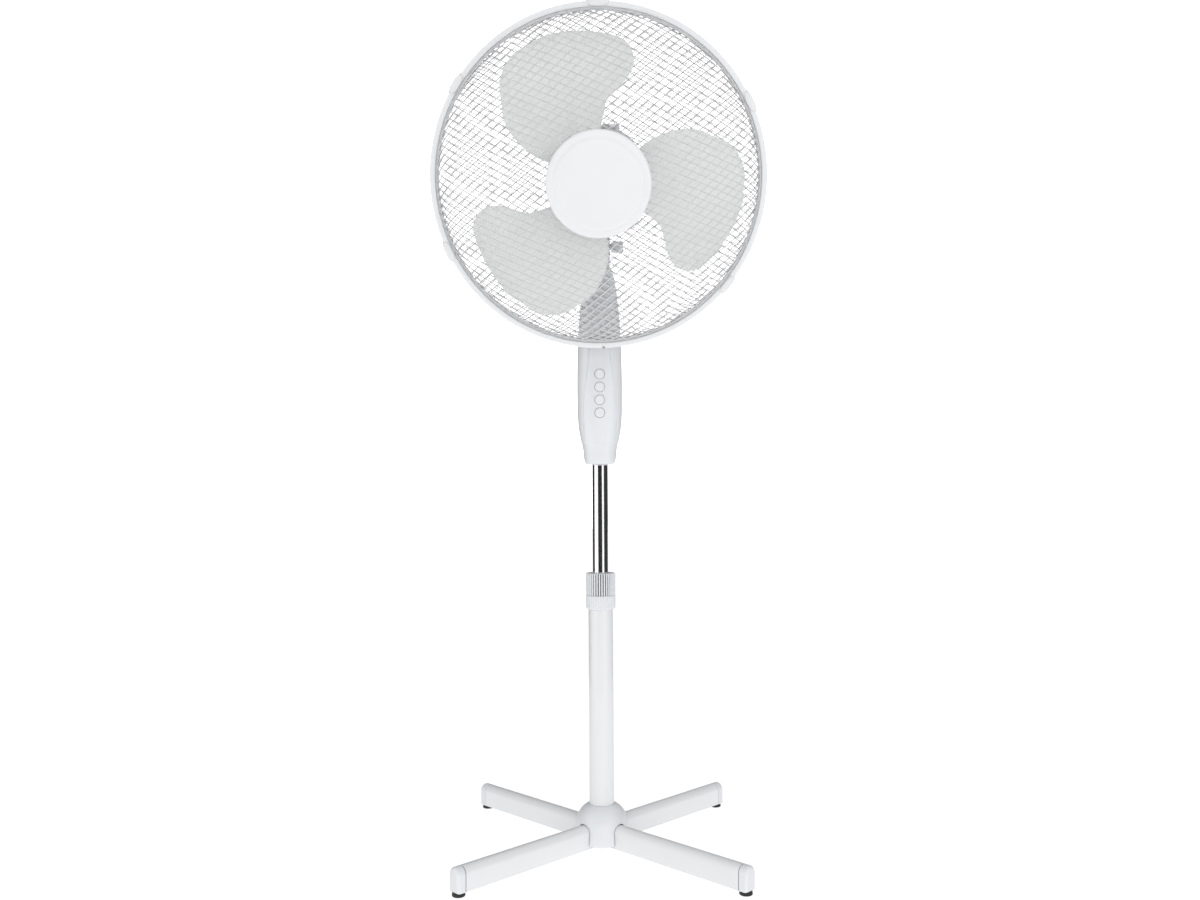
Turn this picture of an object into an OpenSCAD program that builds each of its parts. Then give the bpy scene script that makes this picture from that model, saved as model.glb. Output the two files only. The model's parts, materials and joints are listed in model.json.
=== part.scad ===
// Pedestal fan: cross base, telescopic pole, control housing and an oscillating, tilting head.
// Millimetres. Origin on the floor under the pole, +Z up, the fan blows towards -Y.

/* [Base] */
// Distance from the pole to the end of each leg
leg_reach = 262; // [250:1:275]
// Width of a leg
leg_w = 20; // [19:0.5:24]
// Height of a leg
leg_h = 31; // [29:1:32]
// Clear height under the legs
leg_lift = 7; // [6:0.5:8]
// Radius of the hub cover at the height of its waist
hub_r = 36.3; // [35:0.1:40]
// Height of the hub cover above the floor
hub_top = 60.5; // [59:0.5:64]

/* [Pole] */
// Outer diameter of the lower tube
lower_tube_d = 35; // [34:0.5:36]
// Outer diameter of the chrome tube
chrome_tube_d = 22; // [21:0.5:22]
// Height of the bottom of the lock collar
collar_z = 334.4; // [330:0.2:340]
// Outer diameter of the lock collar
collar_d = 42; // [41:0.5:44]
// Grooves round the lock collar
collar_grooves = 36; // [24:4:40]

/* [Control housing] */
// Height of the bottom of the housing at this pole setting
housing_z = 539; // [535:1:545]
// Diameter of a push button
button_d = 14.2; // [13:0.1:14.6]
// Distance between button centres
button_pitch = 18.1; // [17.5:0.1:19]
// Travel of a push button
button_travel = 4; // [3:0.5:4]

/* [Head] */
// Height of the tilt bolt
tilt_z = 850; // [848:1:856]
// Downward tilt of the head
head_tilt = 18; // [0:1:20]
// Outer radius of the grille rim
rim_r = 215; // [213:1:220]
// Distance of the rim plane in front of the tilt bolt
rim_fwd = 142; // [140:1:146]
// Height of the motor shaft above the tilt bolt, square to the shaft
shaft_up = 98; // [97:1:102]
// Depth of the front grille's dome
front_depth = 66; // [64:1:70]
// Depth of the rear grille's dome
rear_depth = 60; // [60:1:62]
// Radius of the front cap
cap_r = 65; // [62:1:70]
// Radius at the blade tips
blade_r = 191; // [180:1:193]
// Spacing of the lattice bars in both grilles
lattice_pitch = 42; // [36:1:60]

/* [Hidden] */

$fn = 64;
white = [0.88, 0.89, 0.9];
off_white = [0.8, 0.81, 0.82];
black = [0.07, 0.07, 0.08];
steel = [0.62, 0.63, 0.65];
copper = [0.72, 0.4, 0.2];
brass = [0.78, 0.62, 0.3];
eps = 0.01;
run = 0.05; // radial running clearance
gap = 0.3; // clearance between pieces that move past each other

// Base
leg_wall = 1.6;
leg_top = leg_lift + leg_h;
cap_len = 12.5;
cap_plug = 14;
cap_round = 4;
foot_d = 17;
foot_inset = 8.5;
foot_stem_d = 6;
foot_stem = 7;
leg_angles = [225, 315, 135, 45]; // front left, front right, back left, back right
hub_bottom = 9.5;
hub_waist = 34;
hub_flare = 1.2;
socket_plate_r = 29;
socket_plate_t = 3;
socket_top = 58;
base_screw_r = 2.5;
base_screw_at = 22;

// Pole
tube_wall = 1.5;
lower_r = lower_tube_d / 2;
lower_in_r = lower_r - tube_wall;
lower_tube_top = collar_z + 10;
chrome_r = chrome_tube_d / 2;
chrome_in_r = chrome_r - 1.2;
chrome_bottom = 226;
chrome_top = 593;
guide_h = 18;
guide_plug = 17;
collar_r = collar_d / 2;
band_h = 19.2;
nut_z = collar_z + band_h + gap;
nut_top = collar_z + 50.7;
spigot_r = 15.75;
collet_r = 13;
nut_lip = 7;

housing_top = 820;
// Control housing: [height, half width, half depth] of each section
housing_sections = [
    [574, 27, 24.5], [590, 30, 26.5], [606, 31.5, 27.6], [634, 32, 28], [676, 31.8, 27.6],
    [706, 31, 26.6], [740, 29.2, 24.6], [770, 26.8, 22.2], [796, 23.6, 19.6], [housing_top, 18, 16]
];
socket_sections = [[housing_z, 21, 20], [545, 22.7, 21.4], [560, 24.3, 22.6], [576, 26.6, 24.2]];
housing_corner = 0.62; // corner radius as a share of the smaller half side
housing_wall = 2.2;
housing_split_y = 4;
button_r = button_d / 2;
button_z0 = 611.2;
button_front = -30.5;
button_back = -22;
switch_front = -17.6;
switch_back = -5;
stem_r = 2.5;
gland_z = 588;
gland_r = 5.5;
cord_r = 3.3;
housing_screws_at = [[640, 26], [760, 21]]; // height, depth of the screw head
housing_screw_r = 1.6;
spine_half = 7;
spine_y = 7;
sleeve_z = 562;
sleeve_r = 14;

// Neck and tilt
neck_r = 15.7;
neck_slot = 833;
ear_in = 8.2;
ear_r = 13.6;
bolt_r = 4;
block_half = ear_in - gap;
lug_r = 12.4;
platform_z = 16;
platform_top = 27;
platform_r = 21;
swivel_r = 5;
thrust_r = 9;
thrust_top = 33;
knob_d = 17;
knob_x = neck_r + 1.8;
knob_len = 17;

// Oscillation linkage, seen along the swivel pin
worm_r = 5;
wheel_r = 12;
wheel_x = worm_r + gap + wheel_r;
wheel_y = 36;
wheel_teeth = 24;
spindle_r = 3;
swing_knob_r = 13;
swing_knob_top = 169;
crank_z = 38;
crank_r = 12;
crank_throw = 9;
crank_pin_r = 2;
link_z = 28;
link_t = 4;
link_w = 8;
link_pin = [-6, 13];
link_end = [wheel_x - crank_throw, wheel_y];

// Motor
shaft_r = 4;
shaft_front = -rim_fwd - 50;
shaft_back = 56;
stator_r = 38;
rotor_r = 24;
bell_r = 40;
cover_r = 60;
cover_z = shaft_up + 10;
cover_mid = 22;
cover_back = 74;
cover_wall = 2;
cover_screw_r = 1.6;
bracket_r = 17;
bracket_z = thrust_top + gap;
bracket_top = 58;
plate_t = 4;
spigot_out = 44;
spigot_in = 34;

// Grilles and rim
shell_t = 2;
bar_w = 3;
hoop_in = rim_r - 11.5;
hoop_out = rim_r - 3.5;
band_top = 10;
knee_r = 176;
knee_s = 42;
rim_half = 8;
rim_in = rim_r - 9;
rim_wall = 2.5;
wire_angles = [43, -22];

// Radius of the ball that a dome's middle is part of, and the dome's height at radius r
function ball_r(depth) = (knee_r * knee_r + (depth - knee_s) * (depth - knee_s)) / (2 * (depth - knee_s));
function dome_s(depth, r) = depth - ball_r(depth) + sqrt(ball_r(depth) * ball_r(depth) - r * r);

// The rear grille's inner ring is held between the motor front plate and the lock ring
inner_wire_r = 2;
rear_ring_r = spigot_out + 3;
plate_front = -rim_fwd + dome_s(rear_depth, rear_ring_r) - 1 + inner_wire_r;
cover_front = plate_front + plate_t;
lock_ring_back = plate_front - 2 * inner_wire_r;
spigot_front = lock_ring_back - 7;
clip_angles = [27, 90, 146, 204, 322];
clip_len = 24;
clip_t = 2.2;
clip_pin_r = 1;
clip_barrel_r = 2;
clip_pin_at = [rim_r + 1.3, rim_half + 2.5]; // radius, distance behind the rim plane
clip_hook = 2;
rim_screw_r = 1.2;
rim_screw_turn = 1.5; // how far round from the lowest point, seen from the front

// Blades
blade_t = 2;
blade_hub_r = 30;
blade_hub_half = 29;
blade_depth = 60;
blade_count = 3;
blade_turn = 1.5; // clockwise turn of the whole fan at rest
blade_span = 112; // direction of the first blade's span
blade_bend = 420; // radius of the blade's camber
blade_slope = 0.27; // its slope at the span line
blade_drop = 8;

// Points on an arc of radius r about c, from angle a to angle b
function arc(c, r, a, b, n = 12) = [for (i = [0:n]) c + r * [cos(a + (b - a) * i / n), sin(a + (b - a) * i / n)]];

// The head's own frame: origin at the tilt bolt, fan axis along Y
module in_head() {
    translate([0, 0, tilt_z]) rotate([head_tilt, 0, 0]) children();
}

// The fan's frame: origin where the shaft crosses the rim plane, Z forward along the shaft, Y up
module on_shaft() {
    in_head() translate([0, -rim_fwd, shaft_up]) rotate([90, 0, 0]) children();
}

module tube(r_out, r_in, z0, z1) {
    translate([0, 0, z0]) difference() {
        cylinder(r = r_out, h = z1 - z0);
        translate([0, 0, -1]) cylinder(r = r_in, h = z1 - z0 + 2);
    }
}

module rod(r, z0, z1) {
    translate([0, 0, z0]) cylinder(r = r, h = z1 - z0);
}

// A rod along Y in the head's frame
module rod_y(r, y0, y1, x = 0, z = 0) {
    translate([x, y0, z]) rotate([-90, 0, 0]) cylinder(r = r, h = y1 - y0);
}

// A rod along X
module rod_x(r, x0, x1, y = 0, z = 0) {
    translate([x0, y, z]) rotate([0, 90, 0]) cylinder(r = r, h = x1 - x0);
}

module block(x0, x1, y0, y1, z0, z1) {
    translate([x0, y0, z0]) cube([x1 - x0, y1 - y0, z1 - z0]);
}

// ---- base ----

// Section of a leg, standing on y = 0: upright sides under a half-round top
module leg_section(inset = 0) {
    w = leg_w / 2 - inset;
    side_h = leg_h - leg_w / 2;
    translate([-w, 0]) square([2 * w, side_h]);
    translate([0, side_h]) circle(r = w);
}

// A length of leg section along +X from x0 to x1 at height z
module leg_run(x0, x1, z, inset = 0) {
    translate([x0, 0, z]) rotate([90, 0, 90]) linear_extrude(x1 - x0) leg_section(inset);
}

module leg_channel(angle) {
    reach = leg_reach - cap_len;
    rotate([0, 0, angle]) difference() {
        leg_run(-reach, reach, leg_lift);
        leg_run(-reach - 1, reach + 1, leg_lift, leg_wall);
        translate([-reach - 1, -leg_w / 2 + leg_wall, leg_lift - 5]) cube([2 * reach + 2, leg_w - 2 * leg_wall, 6]);
        for (side = [-1, 1]) translate([side * base_screw_at, 0, 0]) rod(base_screw_r, leg_lift, leg_top + 1);
    }
}

// Cuts the crossing out of a leg between two heights
module crossing_cut(angle, z0, z1) {
    half = leg_w / 2 + 0.1;
    rotate([0, 0, angle]) translate([-half, -leg_w, z0]) cube([2 * half, 2 * leg_w, z1 - z0]);
}

module base_leg_a() {
    color(white) difference() {
        leg_channel(45);
        crossing_cut(45, leg_lift + leg_h / 2, leg_top + 1);
    }
}

module base_leg_b() {
    color(white) difference() {
        leg_channel(135);
        crossing_cut(135, leg_lift - 1, leg_lift + leg_h / 2 + 0.1);
    }
}

module leg_cap(i) {
    start = leg_reach - cap_len;
    color(white) rotate([0, 0, leg_angles[i]]) difference() {
        union() {
            hull() {
                leg_run(start, leg_reach - cap_round, leg_lift, $fn = 32);
                translate([leg_reach - 1, 0, leg_lift + 1]) rotate([90, 0, 90])
                    linear_extrude(1) leg_section(cap_round - 1, $fn = 32);
            }
            leg_run(start - cap_plug, start + 1, leg_lift, leg_wall + 0.1);
        }
        translate([leg_reach - foot_inset, 0, 0]) rod(foot_stem_d / 2, 0, leg_lift + foot_stem);
    }
}

module foot(i) {
    color(black) rotate([0, 0, leg_angles[i]]) translate([leg_reach - foot_inset, 0, 0]) {
        rotate_extrude() polygon(concat(
            [[0, 0], [foot_d / 2 - 1, 0]],
            arc([foot_d / 2 - 1.5, 1.5], 1.5, -90, 0, 6),
            [[foot_d / 2 - 0.5, leg_lift], [0, leg_lift]]
        ));
        rod(foot_stem_d / 2, leg_lift - eps, leg_lift + foot_stem);
    }
}

// Radius of the dome that joins the hub cover's waist to the tube
hub_rise = hub_top - hub_waist;
hub_run = hub_r - lower_r - 0.9;
hub_dome_r = (hub_run * hub_run + hub_rise * hub_rise) / (2 * hub_run);

// Outline of the hub cover from its skirt to the tube, offset inwards by t
function hub_outline(t) = let (r = hub_dome_r - t, top = asin(hub_rise / hub_dome_r)) concat(
    [[hub_r + hub_flare - t, hub_bottom], [hub_r - t, hub_waist]],
    arc([hub_r - hub_dome_r, hub_waist], r, 0, top, 12),
    [[0, hub_waist + r * sin(top)], [0, hub_bottom]]
);

module base_hub_cover() {
    color(white) difference() {
        rotate_extrude() polygon(hub_outline(0));
        translate([0, 0, -eps]) rotate_extrude() polygon(hub_outline(2));
        rod(lower_r, 0, hub_top + 1);
        for (a = [45, 135]) rotate([0, 0, a]) leg_run(-hub_r - 5, hub_r + 5, leg_lift, -gap);
    }
}

module hub_socket() {
    color(steel) difference() {
        union() {
            rod(socket_plate_r, leg_top, leg_top + socket_plate_t);
            rod(lower_in_r, leg_top + socket_plate_t, socket_top);
        }
        rod(lower_in_r - 3, leg_top - 1, socket_top + 1);
        for (a = leg_angles) rotate([0, 0, a]) translate([base_screw_at, 0, 0])
            rod(base_screw_r, leg_top - 1, leg_top + 10);
    }
}

module base_screws() {
    z = leg_top + socket_plate_t;
    color(steel) for (a = leg_angles) rotate([0, 0, a]) translate([base_screw_at, 0, 0]) {
        rod(base_screw_r, leg_top - 8, z);
        rod(base_screw_r + 1.8, z, z + 2.5);
    }
}

module lower_tube() {
    color(white) tube(lower_r, lower_in_r, leg_top + socket_plate_t, lower_tube_top);
}

// ---- height lock ----

module collar_sleeve() {
    top = collar_z + band_h;
    color(white) difference() {
        union() {
            rod(collar_r, collar_z + 1, top);
            translate([0, 0, collar_z]) cylinder(r1 = collar_r - 1, r2 = collar_r, h = 1);
            rod(spigot_r, top - eps, nut_top - nut_lip - 1);
        }
        rod(lower_r, collar_z - 1, lower_tube_top);
        rod(collet_r, lower_tube_top - 1, nut_top);
    }
}

module grip_collet() {
    color(off_white) difference() {
        tube(collet_r, chrome_r + run, lower_tube_top, nut_top - nut_lip - 1);
        translate([-1, 0, lower_tube_top - 1]) cube([2, collet_r + 1, 60]);
    }
}

module height_lock_collar() {
    h = nut_top - nut_z;
    color(white) translate([0, 0, nut_z]) difference() {
        linear_extrude(h) difference() {
            circle(r = collar_r);
            for (i = [1:collar_grooves]) rotate(i * 360 / collar_grooves) translate([collar_r + 0.5, 0])
                circle(r = 1.2, $fn = 16);
        }
        rod(spigot_r + run, -1, h - nut_lip);
        rod(chrome_r + gap, 0, h + 1);
    }
}

// ---- mast ----

module chrome_tube() {
    color(steel) tube(chrome_r, chrome_in_r, chrome_bottom, chrome_top);
}

module tube_end_guide() {
    color(black) difference() {
        union() {
            rod(lower_in_r - run, chrome_bottom - guide_h, chrome_bottom);
            rod(chrome_in_r, chrome_bottom - eps, chrome_bottom + guide_plug);
        }
        rod(6, chrome_bottom - guide_h - 1, chrome_bottom + guide_plug + 1);
    }
}

// A convex run of housing sections, offset inwards by t
module housing_run(sections, t) {
    hull() for (s = sections) {
        r = housing_corner * (min(s[1], s[2]) - t);
        for (x = [-1, 1]) for (y = [-1, 1])
            translate([x * (s[1] - t - r), y * (s[2] - t - r), s[0]]) cylinder(r = r, h = eps, $fn = 32);
    }
}

module housing_shell() {
    difference() {
        union() {
            housing_run(socket_sections, 0);
            housing_run(housing_sections, 0);
        }
        translate([0, 0, housing_wall]) housing_run(socket_sections, housing_wall);
        housing_run([for (s = housing_sections) [min(s[0], housing_top - 8), s[1], s[2]]], housing_wall);
        rod(chrome_r, housing_z - 1, housing_z + 10);
        block(-spine_half, spine_half, spine_y - spine_half, spine_y + spine_half, 800, housing_top + 1);
        for (s = housing_screws_at) {
            rod_y(housing_screw_r, 10, 40, 0, s[0]);
            rod_y(housing_screw_r + 1.4, s[1], 40, 0, s[0]);
        }
    }
}

module housing_front() {
    color(white) difference() {
        intersection() {
            housing_shell();
            block(-50, 50, -50, housing_split_y, 500, 830);
        }
        for (i = [0:3]) rod_y(button_r + 0.35, -40, -15, 0, button_z0 + i * button_pitch);
    }
}

module housing_rear() {
    color(white) difference() {
        intersection() {
            housing_shell();
            block(-50, 50, housing_split_y, 50, 500, 830);
        }
        rod_y(gland_r - 1, 10, 40, 0, gland_z);
    }
}

module housing_screws() {
    color(steel) for (s = housing_screws_at) {
        rod_y(housing_screw_r, spine_y, s[1], 0, s[0]);
        rod_y(housing_screw_r + 1.4, s[1], s[1] + 1.5, 0, s[0]);
    }
}

module switch_body() {
    color(off_white) difference() {
        block(-12, 12, switch_front, switch_back, button_z0 - 12, button_z0 + 3 * button_pitch + 12);
        for (i = [0:3]) rod_y(stem_r + gap, switch_front - 1, switch_back - 2, 0, button_z0 + i * button_pitch);
    }
}

module capacitor() {
    color(black) block(-13, 13, -18, -6, 700, 734);
}

module cord_gland() {
    color(black) difference() {
        union() {
            rod_y(gland_r - 1, 18, 31, 0, gland_z);
            rod_y(gland_r + 1, 27, 31, 0, gland_z);
        }
        rod_y(cord_r, 17, 33, 0, gland_z);
    }
}

module neck_post() {
    color(white) difference() {
        union() {
            tube(sleeve_r, chrome_r, sleeve_z, chrome_top);
            rod(sleeve_r, chrome_top, chrome_top + 5);
            block(-spine_half, spine_half, spine_y - spine_half, spine_y + spine_half, chrome_top + 4, housing_top);
            rod(neck_r, housing_top, neck_slot);
            intersection() {
                union() {
                    rod_x(ear_r, -neck_r, neck_r, 0, tilt_z);
                    block(-neck_r, neck_r, -ear_r, ear_r, neck_slot - 1, tilt_z);
                }
                rod(neck_r, housing_top, tilt_z + 30);
            }
        }
        block(-ear_in, ear_in, -30, 30, neck_slot, 900);
        rod_x(bolt_r, -30, 30, 0, tilt_z);
        for (s = housing_screws_at) rod_y(housing_screw_r, spine_y, 40, 0, s[0]);
    }
}

module tilt_bolt() {
    color(steel) {
        rod_x(bolt_r, -neck_r, knob_x + knob_len - 3, 0, tilt_z);
        rod_x(bolt_r + 2.5, -neck_r - 3.5, -neck_r, 0, tilt_z, $fn = 6);
    }
}

module tilt_knob() {
    color(white) translate([knob_x, 0, tilt_z]) rotate([0, 90, 0]) difference() {
        linear_extrude(knob_len) difference() {
            circle(r = knob_d / 2);
            for (i = [1:12]) rotate(i * 30) translate([knob_d / 2 + 0.7, 0]) circle(r = 1.5, $fn = 16);
        }
        rod(bolt_r + run, -1, knob_len - 2.5);
    }
}

module speed_button(i) {
    z = button_z0 + i * button_pitch;
    color(white) {
        rod_y(button_r - 0.8, button_front, button_front + 1, 0, z);
        rod_y(button_r, button_front + 0.8, button_back, 0, z);
        rod_y(stem_r, button_back - eps, switch_front + button_travel, 0, z);
    }
}

// ---- tilt block and oscillation ----

module tilt_block() {
    color(off_white) in_head() difference() {
        union() {
            rod_x(lug_r, -block_half, block_half);
            block(-block_half, block_half, -11, 11, 0, platform_z + 1);
            rod(platform_r, platform_z, platform_top);
            rod(thrust_r, platform_top - eps, thrust_top);
            translate([link_pin[0], link_pin[1], 0]) rod(2.5, platform_top - eps, link_z + link_t + 0.4);
        }
        rod_x(bolt_r + run, -30, 30);
        rod(swivel_r, 6, 60);
    }
}

module swivel_pin() {
    color(steel) in_head() rod(swivel_r, 6, bracket_top - 8);
}

module oscillation_link() {
    color(steel) in_head() translate([0, 0, link_z]) difference() {
        union() {
            linear_extrude(link_t) hull() for (p = [link_pin, link_end]) translate(p) circle(r = 3.5);
            translate([link_pin[0], link_pin[1], 0]) cylinder(r = 5, h = link_t);
        }
        translate([link_pin[0], link_pin[1], -1]) cylinder(r = 2.5 + run, h = link_t + 2);
        translate([link_end[0], link_end[1], -1]) cylinder(r = crank_pin_r + run, h = link_t + 2);
    }
}

module swivel_bracket() {
    color(off_white) in_head() difference() {
        union() {
            rod(bracket_r, bracket_z, bracket_top);
            block(-12, 12, -66, 8, bracket_top - 2.4, bracket_top);
        }
        rod(swivel_r + run, 30, bracket_top - 7);
    }
}

// ---- motor ----

// A motor bell: a cup of radius bell_r between y0 and y1, closed at y0 if front
module bell(y0, y1, wall_y) {
    color(steel) in_head() translate([0, 0, shaft_up]) difference() {
        union() {
            difference() {
                rod_y(bell_r, y0, y1);
                rod_y(stator_r, y0 - 1, y1 + 1);
            }
            rod_y(bell_r, wall_y, wall_y + 3);
            rod_y(10, wall_y - 4, wall_y + 7);
        }
        rod_y(shaft_r + run, y0 - 20, y1 + 20);
    }
}

module motor_front_bell() {
    bell(-68, -42, -68);
}

module motor_rear_bell() {
    bell(-38, -10, -13);
}

module motor_stator() {
    color(copper) in_head() translate([0, 0, shaft_up]) difference() {
        union() {
            rod_y(stator_r, -52, -28);
            rod_y(34, -60, -20);
        }
        rod_y(rotor_r + 0.5, -61, -19);
    }
}

module gearbox_case() {
    color(off_white) in_head() difference() {
        union() {
            block(-12, 33, -6, 54, 86, 112);
            rod_y(5, 44, cover_back - cover_wall - 0.5, 0, cover_z);
        }
        block(-8, 30, -2, 51, 89, 108);
        rod_y(shaft_r + run, -10, 60, 0, shaft_up);
        rod_y(cover_screw_r, 60, cover_back, 0, cover_z);
        translate([wheel_x, wheel_y, 0]) rod(spindle_r + run, 70, 130);
    }
}

// Half outline of the motor cover, [radius, y], offset inwards by t
function cover_outline(t) = let (r = cover_r - t, l = cover_back - cover_mid - t) concat(
    [[0, cover_front], [r, cover_front]],
    [for (i = [0:14]) [r * cos(i * 90 / 14), cover_mid + l * sin(i * 90 / 14)]]
);

module cover_solid(t) {
    translate([0, 0, cover_z]) rotate([-90, 0, 0]) rotate_extrude() polygon(cover_outline(t));
}

module motor_cover() {
    color(white) in_head() difference() {
        cover_solid(0);
        translate([0, -eps, 0]) cover_solid(cover_wall);
        rod(bracket_r + 0.6, 20, 70);
        translate([wheel_x, wheel_y, 0]) rod(spindle_r + 0.5, 30, 80);
        translate([wheel_x, wheel_y, 0]) rod(swing_knob_r + 1, 140, 200);
        rod_y(cover_screw_r, 60, 90, 0, cover_z);
    }
}

module motor_front_plate() {
    color(white) in_head() difference() {
        union() {
            rod_y(cover_r, plate_front, cover_front, 0, cover_z);
            rod_y(spigot_out, spigot_front, cover_front, 0, shaft_up);
        }
        rod_y(spigot_in, spigot_front - 1, plate_front + 1, 0, shaft_up);
        rod_y(12, -120, 0, 0, shaft_up);
    }
}

module at_rim_screw() {
    rotate([0, 0, rim_screw_turn]) translate([0, -(rim_r - 1.3), 0]) children();
}

module head_screws() {
    color(steel) {
        in_head() rod_y(cover_screw_r, 60, cover_back, 0, cover_z);
        in_head() rod_y(2 * cover_screw_r, cover_back, cover_back + 2, 0, cover_z);
        on_shaft() at_rim_screw() rod(rim_screw_r, -6, rim_half);
        on_shaft() at_rim_screw() rod(rim_screw_r + 0.3, rim_half, rim_half + 1);
    }
}

// ---- grilles ----

// Two crossing sets of bars across a disc of radius r
module lattice(r) {
    for (a = wire_angles) rotate(a) for (k = [-floor(r / lattice_pitch):floor(r / lattice_pitch)])
        translate([-r, k * lattice_pitch - bar_w / 2]) square([2 * r, bar_w]);
}

// Solid under the dome: a cone up to the knee, then part of a sphere; t is taken off all round
module dome_solid(depth, t) {
    ball = ball_r(depth);
    cone_r = hoop_in + shell_t - t;
    translate([0, 0, band_top]) cylinder(r1 = cone_r, r2 = knee_r - t, h = knee_s - band_top - t / 2);
    intersection() {
        translate([0, 0, depth - ball]) sphere(r = ball - t, $fn = 96);
        translate([0, 0, knee_s - t / 2 - eps]) cylinder(r = knee_r - t, h = depth);
    }
}

// A wire guard with its hoop and its inner ring
module grille(depth, inner_r) {
    difference() {
        intersection() {
            difference() {
                dome_solid(depth, 0);
                dome_solid(depth, shell_t);
            }
            translate([0, 0, band_top - 1]) linear_extrude(depth) lattice(hoop_in + shell_t);
        }
        translate([0, 0, -1]) cylinder(r = inner_r, h = depth + 10);
    }
    tube(hoop_in + shell_t, hoop_in, 0.6, band_top + 1);
    tube(hoop_out, hoop_in, 0.6, 4.6);
    translate([0, 0, dome_s(depth, inner_r) - 1]) rotate_extrude() translate([inner_r, 0])
        circle(r = inner_wire_r, $fn = 24);
}

module front_grille() {
    color(steel) on_shaft() grille(front_depth, cap_r - 5);
}

module rear_grille() {
    color(steel) on_shaft() mirror([0, 0, 1]) grille(rear_depth, rear_ring_r);
}

module grille_lock_ring() {
    color(off_white) in_head() difference() {
        rod_y(spigot_out + 9, spigot_front - 1, lock_ring_back, 0, shaft_up);
        rod_y(spigot_out, spigot_front - 2, lock_ring_back + 1, 0, shaft_up);
    }
}

module front_cap() {
    z = front_depth - 1.6;
    color(white) on_shaft() rotate_extrude() polygon(concat(
        [[0, z + 5], [cap_r - 7, z + 5], [cap_r - 7, z], [cap_r - 2, z]],
        arc([cap_r - 3.5, z + 3.5], 3.5, -60, 90, 10),
        [[cap_r * 0.86, z + 7.2], [cap_r * 0.85, z + 8], [0, z + 8.8]]
    ));
}

// Places a clip's own frame: X round the rim, Y outwards, Z forward
module at_clip(i) {
    on_shaft() rotate([0, 0, clip_angles[i] - 90]) children();
}

module grille_rim() {
    ear_x = clip_len / 2 + 0.4;
    color(white) {
        on_shaft() difference() {
            tube(rim_r, rim_in, -rim_half, rim_half);
            tube(rim_r - rim_wall, rim_in - 1, -rim_half + rim_wall, rim_half - rim_wall);
            at_rim_screw() rod(rim_screw_r, -6, rim_half + 1);
        }
        for (i = [0:4]) at_clip(i) {
            for (side = [-1, 1]) translate([side * (ear_x + 1) - 1, rim_r - 2, -clip_pin_at[1] - 2])
                cube([2, 5.5, 5]);
            rod_x(clip_pin_r, -ear_x - 0.5, ear_x + 0.5, clip_pin_at[0], -clip_pin_at[1]);
        }
    }
}

module rim_clip(i) {
    half = clip_len / 2;
    low = rim_r + gap;
    top = low + clip_t;
    color(white) at_clip(i) difference() {
        union() {
            block(-half, half, low, top, -clip_pin_at[1], rim_half + gap + clip_hook);
            block(-half, half, rim_in + 2, top, rim_half + gap, rim_half + gap + clip_hook);
            rod_x(clip_barrel_r, -half, half, clip_pin_at[0], -clip_pin_at[1]);
        }
        rod_x(clip_pin_r + run, -half - 1, half + 1, clip_pin_at[0], -clip_pin_at[1]);
    }
}

module oscillation_knob() {
    color(white) in_head() translate([wheel_x, wheel_y, 0]) {
        rod(spindle_r, 122, swing_knob_top - 8);
        rod(swing_knob_r, swing_knob_top - 9, swing_knob_top - 2);
        translate([0, 0, swing_knob_top - 2 - eps]) cylinder(r1 = swing_knob_r, r2 = swing_knob_r - 1.5, h = 2);
    }
}

// ---- rotor ----

module motor_shaft() {
    color(steel) in_head() translate([0, 0, shaft_up]) {
        rod_y(shaft_r, shaft_front, shaft_back);
        rod_x(1.5, -9, 9, -rim_fwd + 20, 0);
        for (i = [0:5]) rod_y(worm_r, wheel_y - 9 + i * 3, wheel_y - 7.4 + i * 3);
    }
}

module rotor_core() {
    color(steel) in_head() translate([0, 0, shaft_up]) difference() {
        rod_y(rotor_r, -52, -28);
        rod_y(shaft_r, -60, -20);
    }
}

// Outline of a blade in the rim plane: leading edge, round corner, tip, round corner, trailing edge, root
blade_outline = concat(
    [[-2, 28], [2, 72], [8, 101]],
    arc([12, 148], 30, -38, 76, 7),
    arc([-22, 20], 162, 80, 110, 5),
    arc([-70, 112], 55, 108, 196, 6),
    arc([-36, 109], 91, 202, 248, 4),
    [[-26.5, 9.5]]
);
// One blade: its outline cut from a tube wall that runs along the blade's span
module blade() {
    lean = blade_slope / sqrt(1 + blade_slope * blade_slope);
    centre = blade_bend * [lean, sqrt(1 - lean * lean)];
    intersection() {
        translate([0, 0, -blade_depth]) linear_extrude(2 * blade_depth) polygon(blade_outline);
        rotate([0, 0, blade_span - 90]) translate([centre[0], 0, centre[1] - blade_drop]) rotate([-90, 0, 0])
            tube(blade_bend + blade_t / 2, blade_bend - blade_t / 2, -20, blade_r + 20, $fn = 180);
    }
}

module fan_blade() {
    color([0.8, 0.82, 0.83, 0.5]) on_shaft() difference() {
        union() {
            rod(blade_hub_r, -blade_hub_half + 5, blade_hub_half + 7);
            for (i = [0:blade_count - 1]) rotate([0, 0, i * 360 / blade_count - blade_turn]) blade();
        }
        rod(shaft_r, -60, 60);
        translate([0, 0, -blade_hub_half - 5]) rod(blade_hub_r - 4, 0, blade_hub_half + 10);
    }
}

module blade_nut() {
    color(white) on_shaft() difference() {
        translate([0, 0, blade_hub_half + 7]) cylinder(r1 = 16, r2 = 13, h = 14);
        rod(shaft_r, 30, 51);
    }
}

module worm_wheel() {
    color(brass) in_head() translate([wheel_x, wheel_y, 0]) {
        translate([0, 0, shaft_up - 3]) linear_extrude(6) difference() {
            circle(r = wheel_r);
            for (i = [1:wheel_teeth]) rotate(i * 360 / wheel_teeth) translate([wheel_r, 0])
                circle(r = 0.7, $fn = 16);
        }
        rod(spindle_r, crank_z, 118);
        rod(crank_r, crank_z, crank_z + 4);
        translate([-crank_throw, 0, 0]) rod(crank_pin_r, link_z + link_t + 0.5, crank_z + 1);
    }
}

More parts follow.
